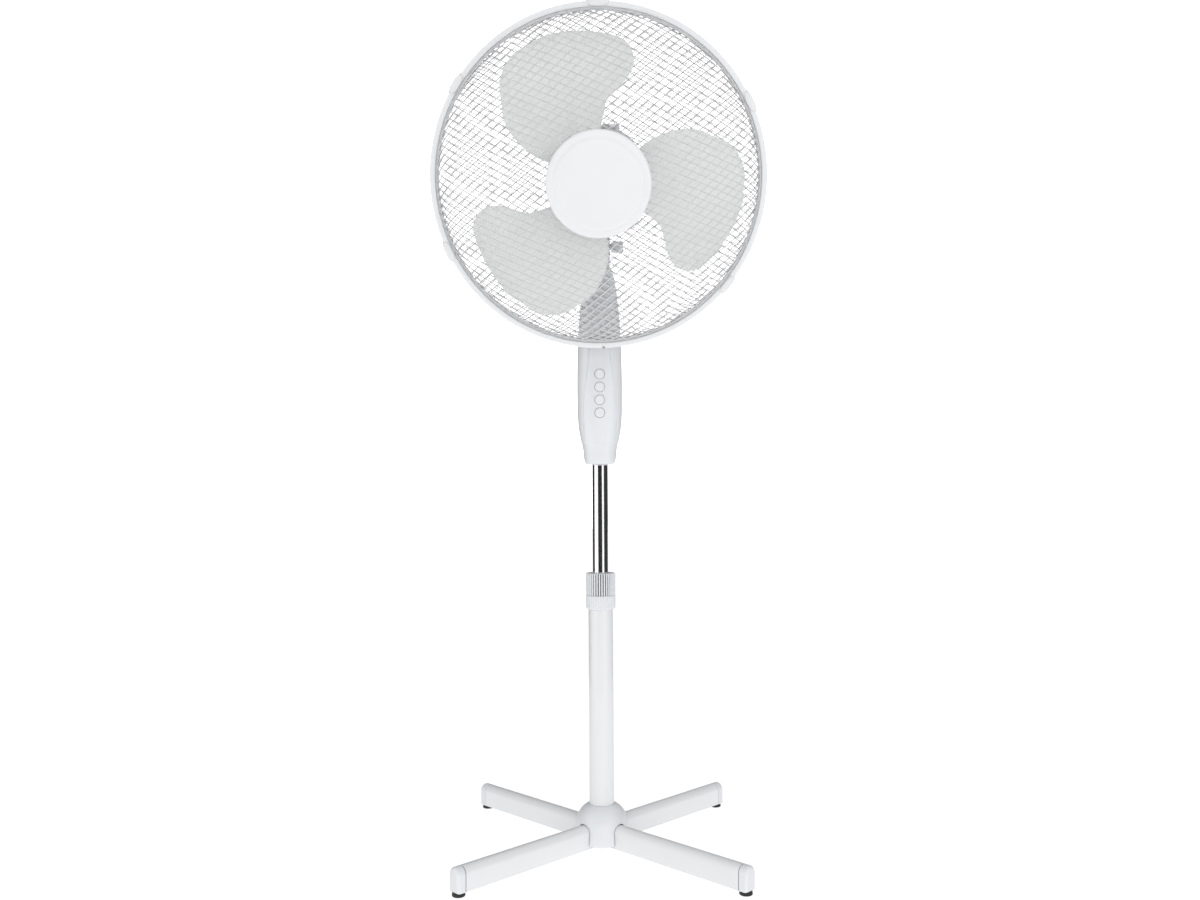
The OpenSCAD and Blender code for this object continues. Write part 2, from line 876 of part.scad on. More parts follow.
base_leg_a();
base_leg_b();
leg_cap(0);  // leg_cap_fl
leg_cap(1);  // leg_cap_fr
leg_cap(2);  // leg_cap_bl
leg_cap(3);  // leg_cap_br
foot(0);  // foot_fl
foot(1);  // foot_fr
foot(2);  // foot_bl
foot(3);  // foot_br
base_hub_cover();
hub_socket();
base_screws();
lower_tube();
collar_sleeve();
grip_collet();
height_lock_collar();
chrome_tube();
tube_end_guide();
housing_front();
housing_rear();
housing_screws();
switch_body();
capacitor();
cord_gland();
neck_post();
tilt_bolt();
speed_button(3);  // speed_button_1
speed_button(2);  // speed_button_2
speed_button(1);  // speed_button_3
speed_button(0);  // speed_button_4
tilt_block();
swivel_pin();
tilt_knob();
oscillation_link();
swivel_bracket();
motor_front_bell();
motor_rear_bell();
motor_stator();
gearbox_case();
motor_cover();
motor_front_plate();
head_screws();
rear_grille();
grille_lock_ring();
grille_rim();
rim_clip(0);  // rim_clip_1
rim_clip(1);  // rim_clip_2
rim_clip(2);  // rim_clip_3
rim_clip(3);  // rim_clip_4
rim_clip(4);  // rim_clip_5
front_grille();
front_cap();
oscillation_knob();
motor_shaft();
rotor_core();
fan_blade();
blade_nut();
worm_wheel();
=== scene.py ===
"""Looks of the pedestal fan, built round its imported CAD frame. Metres, +Z up, the fan blows towards -Y."""
import json
import math

import bmesh
import bpy
import numpy as np
from mathutils import Matrix, Vector


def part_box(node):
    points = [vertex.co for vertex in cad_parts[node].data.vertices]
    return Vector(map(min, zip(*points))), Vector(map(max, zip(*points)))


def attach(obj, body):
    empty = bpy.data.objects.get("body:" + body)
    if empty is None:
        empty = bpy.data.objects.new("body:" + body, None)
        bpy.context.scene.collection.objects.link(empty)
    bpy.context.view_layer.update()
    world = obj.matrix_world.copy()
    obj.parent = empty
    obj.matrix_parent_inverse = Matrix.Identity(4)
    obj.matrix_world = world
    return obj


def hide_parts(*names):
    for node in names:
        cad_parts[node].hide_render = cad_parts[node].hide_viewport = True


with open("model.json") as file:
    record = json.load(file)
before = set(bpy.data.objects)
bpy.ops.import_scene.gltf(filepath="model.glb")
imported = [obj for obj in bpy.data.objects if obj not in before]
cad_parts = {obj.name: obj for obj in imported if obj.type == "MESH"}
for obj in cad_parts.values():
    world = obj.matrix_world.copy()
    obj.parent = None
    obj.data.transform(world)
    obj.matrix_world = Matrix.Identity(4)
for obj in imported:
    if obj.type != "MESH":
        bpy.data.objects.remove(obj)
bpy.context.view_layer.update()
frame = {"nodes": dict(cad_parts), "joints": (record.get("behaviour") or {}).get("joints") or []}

MM = 0.001
TAU = 2 * math.pi
JOINTS = {j["name"]: j for j in frame["joints"]}


# ---------------------------------------------------------------- frames

def joint_vector(name, key="axis"):
    return Vector(JOINTS[name][key])


def basis(x, y, z, origin):
    """A matrix that takes local coordinates with those axes into the row frame."""
    m = Matrix((x, y, z)).transposed().to_4x4()
    m.translation = origin
    return m


RIGHT = Vector((1, 0, 0))
HEAD_UP = joint_vector("oscillation").normalized()
FORWARD = joint_vector("rotor_spin").normalized()
# The head's frame has its origin at the tilt bolt; the rim's frame has its Z forward along the shaft
HEAD = basis(RIGHT, -FORWARD, HEAD_UP, joint_vector("head_tilt", "pos_m"))
RIM = basis(RIGHT, HEAD_UP, FORWARD, joint_vector("rotor_spin", "pos_m"))
WORLD = Matrix.Identity(4)


def local_box(node, matrix=WORLD):
    """Lowest and highest corners of a CAD node in a local frame."""
    inverse = matrix.inverted()
    points = np.array([inverse @ v.co for v in frame["nodes"][node].data.vertices])
    return Vector(points.min(0)), Vector(points.max(0))


# ---------------------------------------------------------------- mesh helpers

def make_object(name, verts, faces, matrix=WORLD, sharp=35):
    """A mesh object from local points, merged, facing out and smooth up to the angle sharp."""
    mesh = bpy.data.meshes.new(name)
    mesh.from_pydata([tuple(v) for v in verts], [], [tuple(f) for f in faces])
    piece = bpy.data.objects.new(name, mesh)
    bpy.context.scene.collection.objects.link(piece)
    bm = bmesh.new()
    bm.from_mesh(mesh)
    bmesh.ops.remove_doubles(bm, verts=bm.verts, dist=1e-6)
    bmesh.ops.dissolve_degenerate(bm, edges=bm.edges, dist=1e-7)
    bmesh.ops.recalc_face_normals(bm, faces=bm.faces)
    bm.transform(matrix)
    bm.to_mesh(mesh)
    bm.free()
    shade(piece, sharp)
    return piece


def shade(piece, sharp=35):
    for polygon in piece.data.polygons:
        polygon.use_smooth = True
    piece.data.set_sharp_from_angle(angle=math.radians(sharp))
    return piece


def apply_modifiers(piece):
    """Replaces the piece's mesh by what its modifiers make of it."""
    bpy.context.view_layer.update()
    evaluated = piece.evaluated_get(bpy.context.evaluated_depsgraph_get())
    mesh = bpy.data.meshes.new_from_object(evaluated)
    piece.modifiers.clear()
    piece.data = mesh
    return piece


def bevelled(piece, width, segments=3, angle=30):
    mod = piece.modifiers.new("bevel", "BEVEL")
    mod.width = width
    mod.segments = segments
    mod.limit_method = "ANGLE"
    mod.angle_limit = math.radians(angle)
    mod.harden_normals = False
    apply_modifiers(piece)
    return shade(piece, 50)


def carve(piece, *cutters):
    """Cuts the cutters out of the piece and removes them."""
    for cutter in cutters:
        mod = piece.modifiers.new("cut", "BOOLEAN")
        mod.operation = "DIFFERENCE"
        mod.solver = "EXACT"
        mod.object = cutter
        apply_modifiers(piece)
        bpy.data.objects.remove(cutter)
    return shade(piece)


def join(name, pieces):
    """Several objects as one mesh object."""
    bm = bmesh.new()
    for piece in pieces:
        bm.from_mesh(piece.data)
        bpy.data.objects.remove(piece)
    mesh = bpy.data.meshes.new(name)
    bm.to_mesh(mesh)
    bm.free()
    joined = bpy.data.objects.new(name, mesh)
    bpy.context.scene.collection.objects.link(joined)
    return joined


def fillet(points, radius, steps=5, closed=True):
    """The same 2D outline with its corners rounded. radius is one number, or one for each corner."""
    pts = [Vector(p) for p in points]
    radii = radius if isinstance(radius, (list, tuple)) else [radius] * len(pts)
    out = []
    for i, p in enumerate(pts):
        ends = not closed and i in (0, len(pts) - 1)
        if ends or radii[i] <= 0:
            out.append(p)
            continue
        a = pts[i - 1] - p
        b = pts[(i + 1) % len(pts)] - p
        half = a.angle(b) / 2
        cut = min(radii[i] / max(math.tan(half), 1e-3), 0.49 * a.length, 0.49 * b.length)
        p0 = p + a.normalized() * cut
        p1 = p + b.normalized() * cut
        for k in range(steps + 1):
            t = k / steps
            out.append(p0 * (1 - t) ** 2 + p * 2 * t * (1 - t) + p1 * t * t)
    return [tuple(p) for p in out]


def grid_faces(rows, columns, wrap_columns=True, wrap_rows=False):
    faces = []
    for i in range(rows if wrap_rows else rows - 1):
        for j in range(columns if wrap_columns else columns - 1):
            a, b = i * columns, (i + 1) % rows * columns
            k = (j + 1) % columns
            faces.append((a + j, a + k, b + k, b + j))
    return faces


def revolve(name, profile, matrix=WORLD, steps=96, sharp=35, ripple=None):
    """A closed profile of (radius, height) turned about the local Z axis. ripple changes the radius at an angle."""
    verts = []
    for r, z in profile:
        for j in range(steps):
            a = TAU * j / steps
            q = r if ripple is None else ripple(r, z, a)
            verts.append((q * math.cos(a), q * math.sin(a), z))
    return make_object(name, verts, grid_faces(len(profile), steps, True, True), matrix, sharp)


def loft(name, rings, matrix=WORLD, capped=True, sharp=35, wrap=True):
    """A skin over rings that have the same number of points."""
    n = len(rings[0])
    verts = [p for ring in rings for p in ring]
    faces = grid_faces(len(rings), n, wrap, False)
    if capped:
        faces += [tuple(range(n)), tuple((len(rings) - 1) * n + i for i in range(n))]
    return make_object(name, verts, faces, matrix, sharp)


def extrude(name, outline, z0, z1, matrix=WORLD, sharp=35):
    """A 2D outline as a prism along the local Z axis."""
    return loft(name, [[(x, y, z) for x, y in outline] for z in (z0, z1)], matrix, True, sharp)


def cylinder_cutter(radius, start, end, steps=48):
    """A cylinder between two points, to cut with."""
    axis = Vector(end) - Vector(start)
    turn = axis.to_track_quat("Z", "Y").to_matrix().to_4x4()
    turn.translation = Vector(start)
    ring = [(radius * math.cos(TAU * i / steps), radius * math.sin(TAU * i / steps)) for i in range(steps)]
    return extrude("cutter", ring, 0, axis.length, turn)


def box_cutter(low, high, matrix=WORLD):
    outline = [(low[0], low[1]), (high[0], low[1]), (high[0], high[1]), (low[0], high[1])]
    return extrude("cutter", outline, low[2], high[2], matrix)


def arc(centre, radius, start, end, steps):
    """Points on an arc; angles in degrees."""
    angles = [math.radians(start + (end - start) * i / steps) for i in range(steps + 1)]
    return [(centre[0] + radius * math.cos(a), centre[1] + radius * math.sin(a)) for a in angles]


def smooth_keys(keys, at):
    """Values of a smooth curve through keys, rows of (position, value, value ...), at the positions at."""
    keys = np.array(keys, float)
    x, values = keys[:, 0], keys[:, 1:]
    slope = np.gradient(values, x, axis=0)
    at = np.clip(np.asarray(at, float), x[0], x[-1])
    i = np.clip(np.searchsorted(x, at, side="right") - 1, 0, len(x) - 2)
    h = (x[i + 1] - x[i])[:, None]
    t = ((at - x[i])[:, None]) / h
    a, b, c, d = 2 * t**3 - 3 * t**2 + 1, t**3 - 2 * t**2 + t, -2 * t**3 + 3 * t**2, t**3 - t**2
    return a * values[i] + b * h * slope[i] + c * values[i + 1] + d * h * slope[i + 1]


def tubes(name, paths, radius, matrix=WORLD, sides=6):
    """Round wires along paths, as one mesh."""
    verts, faces = [], []
    turn = np.arange(sides) * TAU / sides
    for path in paths:
        p = np.array(path, float)
        tangent = np.gradient(p, axis=0)
        tangent /= np.linalg.norm(tangent, axis=1)[:, None]
        side = np.cross(tangent, [0, 0, 1.0])
        short = np.linalg.norm(side, axis=1) < 0.05
        side[short] = np.cross(tangent[short], [1.0, 0, 0])
        side /= np.linalg.norm(side, axis=1)[:, None]
        other = np.cross(tangent, side)
        ring = (p[:, None] + radius * (np.cos(turn)[None, :, None] * side[:, None]
                + np.sin(turn)[None, :, None] * other[:, None]))
        start = len(verts)
        verts.extend(ring.reshape(-1, 3).tolist())
        faces.extend(tuple(start + i for i in f) for f in grid_faces(len(p), sides))
        faces.append(tuple(start + i for i in range(sides)))
        faces.append(tuple(start + (len(p) - 1) * sides + i for i in range(sides)))
    return make_object(name, verts, faces, matrix, 60)


# ---------------------------------------------------------------- materials

def new_material(name, color, roughness, metallic=0.0, **sockets):
    """A principled material. sockets are more of the shader's inputs, with _ for a space."""
    material = bpy.data.materials.new(name)
    material.use_nodes = True
    shader = material.node_tree.nodes["Principled BSDF"]
    shader.inputs["Base Color"].default_value = (*color, 1)
    shader.inputs["Roughness"].default_value = roughness
    shader.inputs["Metallic"].default_value = metallic
    for key, value in sockets.items():
        shader.inputs[key.replace("_", " ")].default_value = value
    return material


def node(material, kind, **inputs):
    made = material.node_tree.nodes.new(kind)
    for key, value in inputs.items():
        made.inputs[key.replace("_", " ")].default_value = value
    return made


def link(material, source, output, target, socket):
    material.node_tree.links.new(source.outputs[output], target.inputs[socket])


def noise(material, scale, detail=3, stretch=(1, 1, 1)):
    """Noise over the piece's own coordinates, stretched along its axes."""
    place = node(material, "ShaderNodeTexCoord")
    mapping = node(material, "ShaderNodeMapping", Scale=stretch)
    texture = node(material, "ShaderNodeTexNoise", Scale=scale, Detail=detail)
    link(material, place, "Object", mapping, "Vector")
    link(material, mapping, "Vector", texture, "Vector")
    return texture


def vary_color(material, texture, color_a, color_b, low=0.35, high=0.65):
    shader = material.node_tree.nodes["Principled BSDF"]
    ramp = material.node_tree.nodes.new("ShaderNodeValToRGB")
    ramp.color_ramp.elements[0].position = low
    ramp.color_ramp.elements[1].position = high
    ramp.color_ramp.elements[0].color = (*color_a, 1)
    ramp.color_ramp.elements[1].color = (*color_b, 1)
    link(material, texture, "Fac", ramp, "Fac")
    link(material, ramp, "Color", shader, "Base Color")


def vary_roughness(material, texture, low, high):
    shader = material.node_tree.nodes["Principled BSDF"]
    span = node(material, "ShaderNodeMapRange", To_Min=low, To_Max=high)
    link(material, texture, "Fac", span, "Value")
    link(material, span, "Result", shader, "Roughness")


def add_bump(material, texture, distance, strength=1.0):
    shader = material.node_tree.nodes["Principled BSDF"]
    bump = node(material, "ShaderNodeBump", Strength=strength, Distance=distance)
    link(material, texture, "Fac", bump, "Height")
    link(material, bump, "Normal", shader, "Normal")


def moulded(name, color, roughness, grain=900, depth=0.00004, spread=0.02, **sockets):
    """Moulded plastic: a fine spark-eroded grain, slow colour drift and uneven gloss."""
    material = new_material(name, color, roughness, **sockets)
    darker = tuple(c * (1 - spread) for c in color)
    vary_color(material, noise(material, 14), darker, color)
    vary_roughness(material, noise(material, 40), roughness - 0.05, roughness + 0.06)
    add_bump(material, noise(material, grain, 2), depth)
    return material


def enamel(name, color, roughness=0.3):
    """Powder-coated steel: an orange-peel surface under a thin coat."""
    material = new_material(name, color, roughness, Coat_Weight=0.25, Coat_Roughness=0.15)
    vary_color(material, noise(material, 9), tuple(c * 0.985 for c in color), color)
    vary_roughness(material, noise(material, 60), roughness - 0.05, roughness + 0.07)
    add_bump(material, noise(material, 420, 2), 0.00006)
    return material


def machined(name, color, roughness, stretch=(1, 1, 30)):
    """Bare metal with fine lines along one axis."""
    material = new_material(name, color, roughness, 1.0)
    vary_roughness(material, noise(material, 260, 4, stretch), roughness - 0.08, roughness + 0.12)
    vary_color(material, noise(material, 30), tuple(c * 0.92 for c in color), color)
    add_bump(material, noise(material, 700, 2, stretch), 0.00002)
    return material


WHITE = (0.735, 0.75, 0.775)
SHELL = moulded("shell_white", WHITE, 0.38, Coat_Weight=0.1, Coat_Roughness=0.25)
TRIM = moulded("trim_white", (0.765, 0.775, 0.79), 0.42)
CAP = moulded("cap_white", (0.765, 0.77, 0.78), 0.36, Coat_Weight=0.12, Coat_Roughness=0.22)
ENAMEL = enamel("white_enamel", (0.765, 0.775, 0.785))
# The nets' wires are the hoops' white enamel painted darker as shade; the rear net's wires darker still, as painted
# shadow
SHADED_WIRE = enamel("wire_painted_shade", (0.61, 0.61, 0.62), 0.34)
REAR_SHADOWED_WIRE = enamel("rear_wire_painted_shadow", (0.5, 0.5, 0.51), 0.4)
CHROME = machined("chrome_plate", (0.86, 0.865, 0.875), 0.055, (40, 40, 1))
RUBBER = moulded("black_rubber", (0.012, 0.012, 0.013), 0.62, 500, 0.0001, 0.2)
BLACK = moulded("black_plastic", (0.02, 0.02, 0.022), 0.42, 700)
SHADOW = moulded("dark_gap", (0.16, 0.16, 0.17), 0.6)
# Near black for the seams at the leg caps, which are dark joints, and for painted shade inside the hub and in the lock
# nut's flutes
SEAM_AND_SHADE = moulded("seam_and_shade_grey", (0.035, 0.035, 0.045), 0.6)
STEEL = machined("turned_steel", (0.55, 0.56, 0.58), 0.3)
CAST = machined("cast_alloy", (0.6, 0.61, 0.63), 0.42, (1, 1, 1))
COPPER = machined("wound_copper", (0.7, 0.33, 0.14), 0.35, (1, 40, 1))
BRASS = machined("turned_brass", (0.72, 0.5, 0.2), 0.28)
INNER = moulded("inner_plastic", (0.7, 0.7, 0.68), 0.5)
# Pale grey plastic that lets a little light through, but no shapes
BLADE = moulded("blade_plastic", (0.865, 0.885, 0.87), 0.36, 500, 0.00003, 0.02, Coat_Weight=0.1,
                Coat_Roughness=0.2, Subsurface_Weight=0.2, Subsurface_Scale=0.003,
                Subsurface_Radius=(1, 1, 1), Transmission_Weight=0.04)


def finish_piece(piece, body, slot, material, *replaced):
    """Gives a piece its material and body, and hides the CAD nodes that it stands for. slot is not used."""
    piece.data.materials.clear()
    piece.data.materials.append(material)
    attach(piece, body)
    if replaced:
        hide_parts(*replaced)
    return piece


def paint_cad(material, *nodes):
    """A better material on CAD nodes that stay visible."""
    for name in nodes:
        shown = frame["nodes"][name]
        if not shown.data.materials:
            shown.data.materials.append(material)
        for i in range(len(shown.material_slots)):
            shown.material_slots[i].material = material


# ---------------------------------------------------------------- base

LEG_ANGLES = {"fl": 225, "fr": 315, "bl": 135, "br": 45}
LEG_END = 262 * MM
LEG_CAP_LENGTH = 12.5 * MM
# The legs sit a little lower on their feet than in the CAD
LEG_LIFT, LEG_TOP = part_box("leg_cap_fl")[0].z - 1.5 * MM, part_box("leg_cap_fl")[1].z - 1 * MM
LEG_WIDTH = 20 * MM
LEG_CROWN = LEG_TOP - LEG_WIDTH / 2


def leg_outline(inset=0.0, lift=0.0):
    """Section of a leg as (across, height), with upright sides and a half-round top."""
    w = LEG_WIDTH / 2 - inset
    z0 = LEG_LIFT + lift
    lower = fillet([(-w, LEG_CROWN), (-w, z0), (w, z0), (w, LEG_CROWN)], 1.2 * MM, 3, closed=False)
    return lower + arc((0, LEG_CROWN), w, 0, 180, 24)[1:-1]


def along_leg(angle):
    """Local X runs out along the leg."""
    return Matrix.Rotation(math.radians(angle), 4, "Z")


def build_leg_caps():
    for name, angle in LEG_ANGLES.items():
        start = LEG_END - LEG_CAP_LENGTH
        round_r = 4.5 * MM
        rings = []
        for k in range(9):
            a = math.pi / 2 * k / 8
            x = LEG_END - round_r + round_r * math.sin(a)
            inset = round_r * (1 - math.cos(a))
            rings.append([(x, y, z) for y, z in leg_outline(inset, inset * 0.4)])
        lip = [[(start + d, y, z) for y, z in leg_outline(i)] for d, i in ((0, 0.7 * MM), (0.7 * MM, 0))]
        cap = loft("leg_cap_shell_" + name, lip + rings, along_leg(angle))
        finish_piece(cap, "base", "white_plastic", SHELL, "leg_cap_" + name)
        seam = loft("leg_seam_" + name, [[(start + d, y, z) for y, z in leg_outline(0.6 * MM)]
                                         for d in (-1.5 * MM, 1.2 * MM)], along_leg(angle))
        finish_piece(seam, "base", "black_plastic", SEAM_AND_SHADE)


def build_legs():
    """The two steel channels that cross under the hub."""
    for name, angle, cad in (("leg_channel_a", 45, "base_leg_a"), ("leg_channel_b", 135, "base_leg_b")):
        reach = LEG_END - LEG_CAP_LENGTH - 0.55 * MM
        rings = [[(x, y, z) for y, z in leg_outline(inset)]
                 for x, inset in ((-reach, 0.25 * MM), (-reach + 0.3 * MM, 0), (0, 0), (reach - 0.3 * MM, 0),
                                  (reach, 0.25 * MM))]
        finish_piece(loft(name, rings, along_leg(angle)), "base", "white_paint", ENAMEL, cad)


def build_hub():
    """The dome over the crossing, flared a little at its foot, with an arch for each leg."""
    low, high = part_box("base_hub_cover")
    foot_r = high.x
    waist_r, waist_z = foot_r - 1.2 * MM, 34 * MM
    dome_r = 28.6 * MM
    tube_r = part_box("lower_tube")[1].x
    wall = 2.2 * MM
    centre = (waist_r - dome_r, waist_z)
    outline = [(foot_r - wall, low.z), (foot_r, low.z), (foot_r - 0.25 * MM, low.z + 7 * MM),
               (waist_r + 0.1 * MM, waist_z - 9 * MM)]
    outline += arc(centre, dome_r, 0, 64, 18)
    outline += [(tube_r + 1.6 * MM, high.z - 0.2 * MM), (tube_r + 0.15 * MM, high.z - 0.2 * MM)]
    outline += [(tube_r + 0.15 * MM, high.z - 2.6 * MM)]
    outline += arc(centre, dome_r - wall, 62, 0, 14)
    hub = revolve("hub_cover_shell", outline, steps=128)
    for angle in (45, 135):
        cutter = loft("cutter", [[(x, y, z) for y, z in leg_outline(-1.3 * MM, -5 * MM)]
                                 for x in (-2 * foot_r, 2 * foot_r)], along_leg(angle))
        carve(hub, cutter)
    finish_piece(bevelled(hub, 0.4 * MM, 2), "base", "white_plastic", SHELL, "base_hub_cover")
    # A near-black ring inside the dome: painted shade, seen in the gaps round the legs
    shadow_r = waist_r - wall - 0.6 * MM
    painted_shade_ring = revolve("hub_painted_shade", [(shadow_r - 1 * MM, LEG_LIFT + 4 * MM), (shadow_r, LEG_LIFT + 4 * MM),
                                  (shadow_r, LEG_TOP + 3 * MM), (shadow_r - 1 * MM, LEG_TOP + 3 * MM)])
    for angle in (45, 135):
        carve(painted_shade_ring, loft("cutter", [[(x, y, z) for y, z in leg_outline(-0.05 * MM, -5 * MM)]
                                     for x in (-2 * foot_r, 2 * foot_r)], along_leg(angle)))
    finish_piece(painted_shade_ring, "base", "black_plastic", SEAM_AND_SHADE)


def build_lower_tube():
    low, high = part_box("lower_tube")
    r = high.x
    profile = fillet([(r - 1.5 * MM, low.z), (r, low.z), (r, high.z), (r - 1.5 * MM, high.z)], 0.3 * MM, 2)
    finish_piece(revolve("lower_tube_pipe", profile, steps=96), "base", "white_paint", ENAMEL, "lower_tube")


def build_collar():
    """The fixed sleeve with faint flutes, and the deeply fluted lock nut above it, with a near-black ring at the bottom
    of its flutes as painted shade.
    """
    spigot_r = 15.8 * MM
    band_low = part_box("collar_sleeve")[0].z
    nut_low, nut_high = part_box("height_lock_collar")
    r = nut_high.x
    tube_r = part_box("lower_tube")[1].x
    flutes = 36

    def groove(depth, width):
        def ripple(q, z, a):
            if q < r - 1.2 * MM:
                return q
            wave = (1 + math.cos(flutes * a)) / 2
            return q - depth * wave ** width
        return ripple

    band_top = nut_low.z - 0.35 * MM
    sleeve = fillet([(tube_r, band_low), (r - 1.6 * MM, band_low), (r, band_low + 1.8 * MM), (r, band_top),
                     (tube_r, band_top)], [0, 1 * MM, 1 * MM, 0.5 * MM, 0], 4)
    lower = revolve("collar_band", sleeve, steps=flutes * 12, ripple=groove(0.9 * MM, 3))
    finish_piece(lower, "base", "white_plastic", SHELL, "collar_sleeve")
    chrome_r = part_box("chrome_tube")[1].x
    nut = fillet([(spigot_r, nut_low.z), (r, nut_low.z), (r, nut_high.z), (chrome_r + 0.3 * MM, nut_high.z),
                  (chrome_r + 0.3 * MM, nut_high.z - 7 * MM), (spigot_r, nut_high.z - 7 * MM)],
                 [0, 0.5 * MM, 1.8 * MM, 0.8 * MM, 0, 0], 5)
    upper = revolve("lock_nut_fluted", nut, steps=flutes * 12, ripple=groove(3.2 * MM, 2.6))
    finish_piece(upper, "lock_nut", "white_plastic", SHELL, "height_lock_collar")
    # A near-black ring at the bottom of the flutes: painted shade in the grooves
    core_r = r - 1.6 * MM
    core = revolve("lock_nut_painted_shade", [(r - 3 * MM, nut_low.z + 0.6 * MM), (core_r, nut_low.z + 0.6 * MM),
                                     (core_r, nut_high.z - 1.6 * MM), (r - 3 * MM, nut_high.z - 2.4 * MM)])
    finish_piece(core, "lock_nut", "inner_plastic", SEAM_AND_SHADE)
    inner = fillet([(tube_r - 1.4 * MM, band_top - 6 * MM), (15.7 * MM, band_top - 6 * MM),
                    (15.7 * MM, nut_high.z - 8.2 * MM), (13 * MM, nut_high.z - 8.2 * MM)], 0.3 * MM, 2)
    spigot = revolve("collar_spigot", inner, steps=64)
    finish_piece(spigot, "base", "white_plastic", TRIM)


# ---------------------------------------------------------------- mast

def build_chrome_tube():
    low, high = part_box("chrome_tube")
    r = high.x
    profile = fillet([(r - 1.2 * MM, low.z), (r, low.z), (r, high.z), (r - 1.2 * MM, high.z)], 0.25 * MM, 2)
    finish_piece(revolve("chrome_pipe", profile, steps=128), "mast", "chrome", CHROME, "chrome_tube")


HOUSING_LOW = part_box("housing_front")[0].z
HOUSING_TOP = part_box("housing_front")[1].z
SPLIT_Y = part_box("housing_front")[1].y
# Height above the housing's bottom, half width, depth in front of the pole, depth behind it
HOUSING_KEYS = [
    (0, 21, 20, 20), (8, 23.3, 21.8, 21.8), (20, 24.4, 22.8, 22.6), (32, 26.6, 24.4, 24), (48, 29.7, 26.3, 25.9),
    (66, 31.4, 27.5, 27.1), (95, 32, 28, 27.6), (137, 31.8, 27.6, 27.2), (167, 31, 26.6, 26.2),
    (201, 29.2, 24.6, 24.4), (231, 26.8, 22.2, 22), (257, 23.4, 19.6, 19.5), (272, 20.2, 17.6, 17.5),
    (281, 17.2, 16.2, 16.2)
]
# Height above the housing's bottom, half width of the raised front panel, how proud it stands
PANEL_KEYS = [(30, 21, 0), (42, 22.6, 0.6), (60, 23.2, 0.9), (88, 22, 0.9), (130, 17, 0.9), (167, 12.6, 0.9),
              (215, 9, 0.8), (262, 7, 0.3), (281, 6, 0)]
SQUARENESS = 2.5


def housing_levels():
    """Heights of the housing's rings above its bottom: close together at the rounded foot and at the socket step."""
    foot = [0, 0.3, 1.0, 2.2, 4]
    step = [29.6, 30.0, 30.5, 30.9, 31.6]
    levels = foot + list(np.linspace(6, 28, 8)) + step + list(np.linspace(34, 281, 74))
    return levels


def housing_size(h):
    """Half width, front depth and rear depth at height h, with the foot's rounding and the groove at the socket."""
    w, front, rear = smooth_keys(HOUSING_KEYS, [h])[0] * MM
    rounding = 3.2
    inset = rounding * (1 - math.sqrt(max(0, 1 - (1 - min(h, rounding) / rounding) ** 2))) * MM
    socket = 0.55 * MM if h < 30.2 else 0
    return w - inset - socket, front - inset - socket, rear - inset - socket


def squircle(w, depth, t):
    """Point at angle t on a quarter of a rounded section: x across from the pole, y away from the split."""
    power = 2 / SQUARENESS
    return w * abs(math.cos(t)) ** power, depth * abs(math.sin(t)) ** power


def squircle_depth(w, depth, x):
    return depth * (1 - min(1, abs(x) / w) ** SQUARENESS) ** (1 / SQUARENESS)


def front_ring(h):
    """Front half section from left to right at the split, with the raised panel in its middle."""
    w, front, _ = housing_size(h)
    panel_w, proud = smooth_keys(PANEL_KEYS, [h])[0] * MM
    proud = max(0.0, proud) if 30.2 < h else 0.0
    panel_w = min(panel_w, 0.8 * w)
    depth = front + SPLIT_Y
    foot_w = panel_w + 1.9 * MM
    limit = math.acos(min(1, (foot_w / w) ** (SQUARENESS / 2)))
    side = [squircle(w, depth, limit * k / 14) for k in range(15)]
    side[-1] = (side[-1][0], side[-1][1] + 0.28 * proud)
    edge = [(panel_w + d * MM, squircle_depth(w, depth, panel_w + d * MM) + share * proud)
            for d, share in ((1.5, 0.16), (1.0, -0.5), (0.6, -0.62), (0.2, -0.1))]
    panel = [(panel_w * (1 - k / 8), squircle_depth(w, depth, panel_w * (1 - k / 8)) + 0.5 * proud)
             for k in range(9)]
    half = side + edge + panel
    right = [(x, SPLIT_Y - d, HOUSING_LOW + h * MM) for x, d in half]
    left = [(-x, y, z) for x, y, z in right]
    return left + right[::-1][1:]


def rear_ring(h):
    w, _, rear = housing_size(h)
    depth = rear - SPLIT_Y
    right = [(x, SPLIT_Y + d) for x, d in (squircle(w, depth, math.pi / 2 * k / 18) for k in range(19))]
    left = [(-x, y) for x, y in right]
    return [(x, y, HOUSING_LOW + h * MM) for x, y in left + right[::-1][1:]]


def housing_half(name, ring):
    """A half shell with a floor and a ceiling, 2.2 mm thick."""
    rings = [ring(h) for h in housing_levels()]
    for index in (0, -1):
        flat = rings[index]
        middle = Vector((0, SPLIT_Y, flat[0][2]))
        lid = [tuple(middle + (Vector(p) - middle) * 0.66) for p in flat]
        rings = [lid] + rings if index == 0 else rings + [lid]
    shell = loft(name, rings, capped=False, wrap=False, sharp=40)
    mod = shell.modifiers.new("wall", "SOLIDIFY")
    mod.thickness = 2.2 * MM
    mod.offset = -1
    mod.use_even_offset = False
    apply_modifiers(shell)
    return shade(shell, 40)


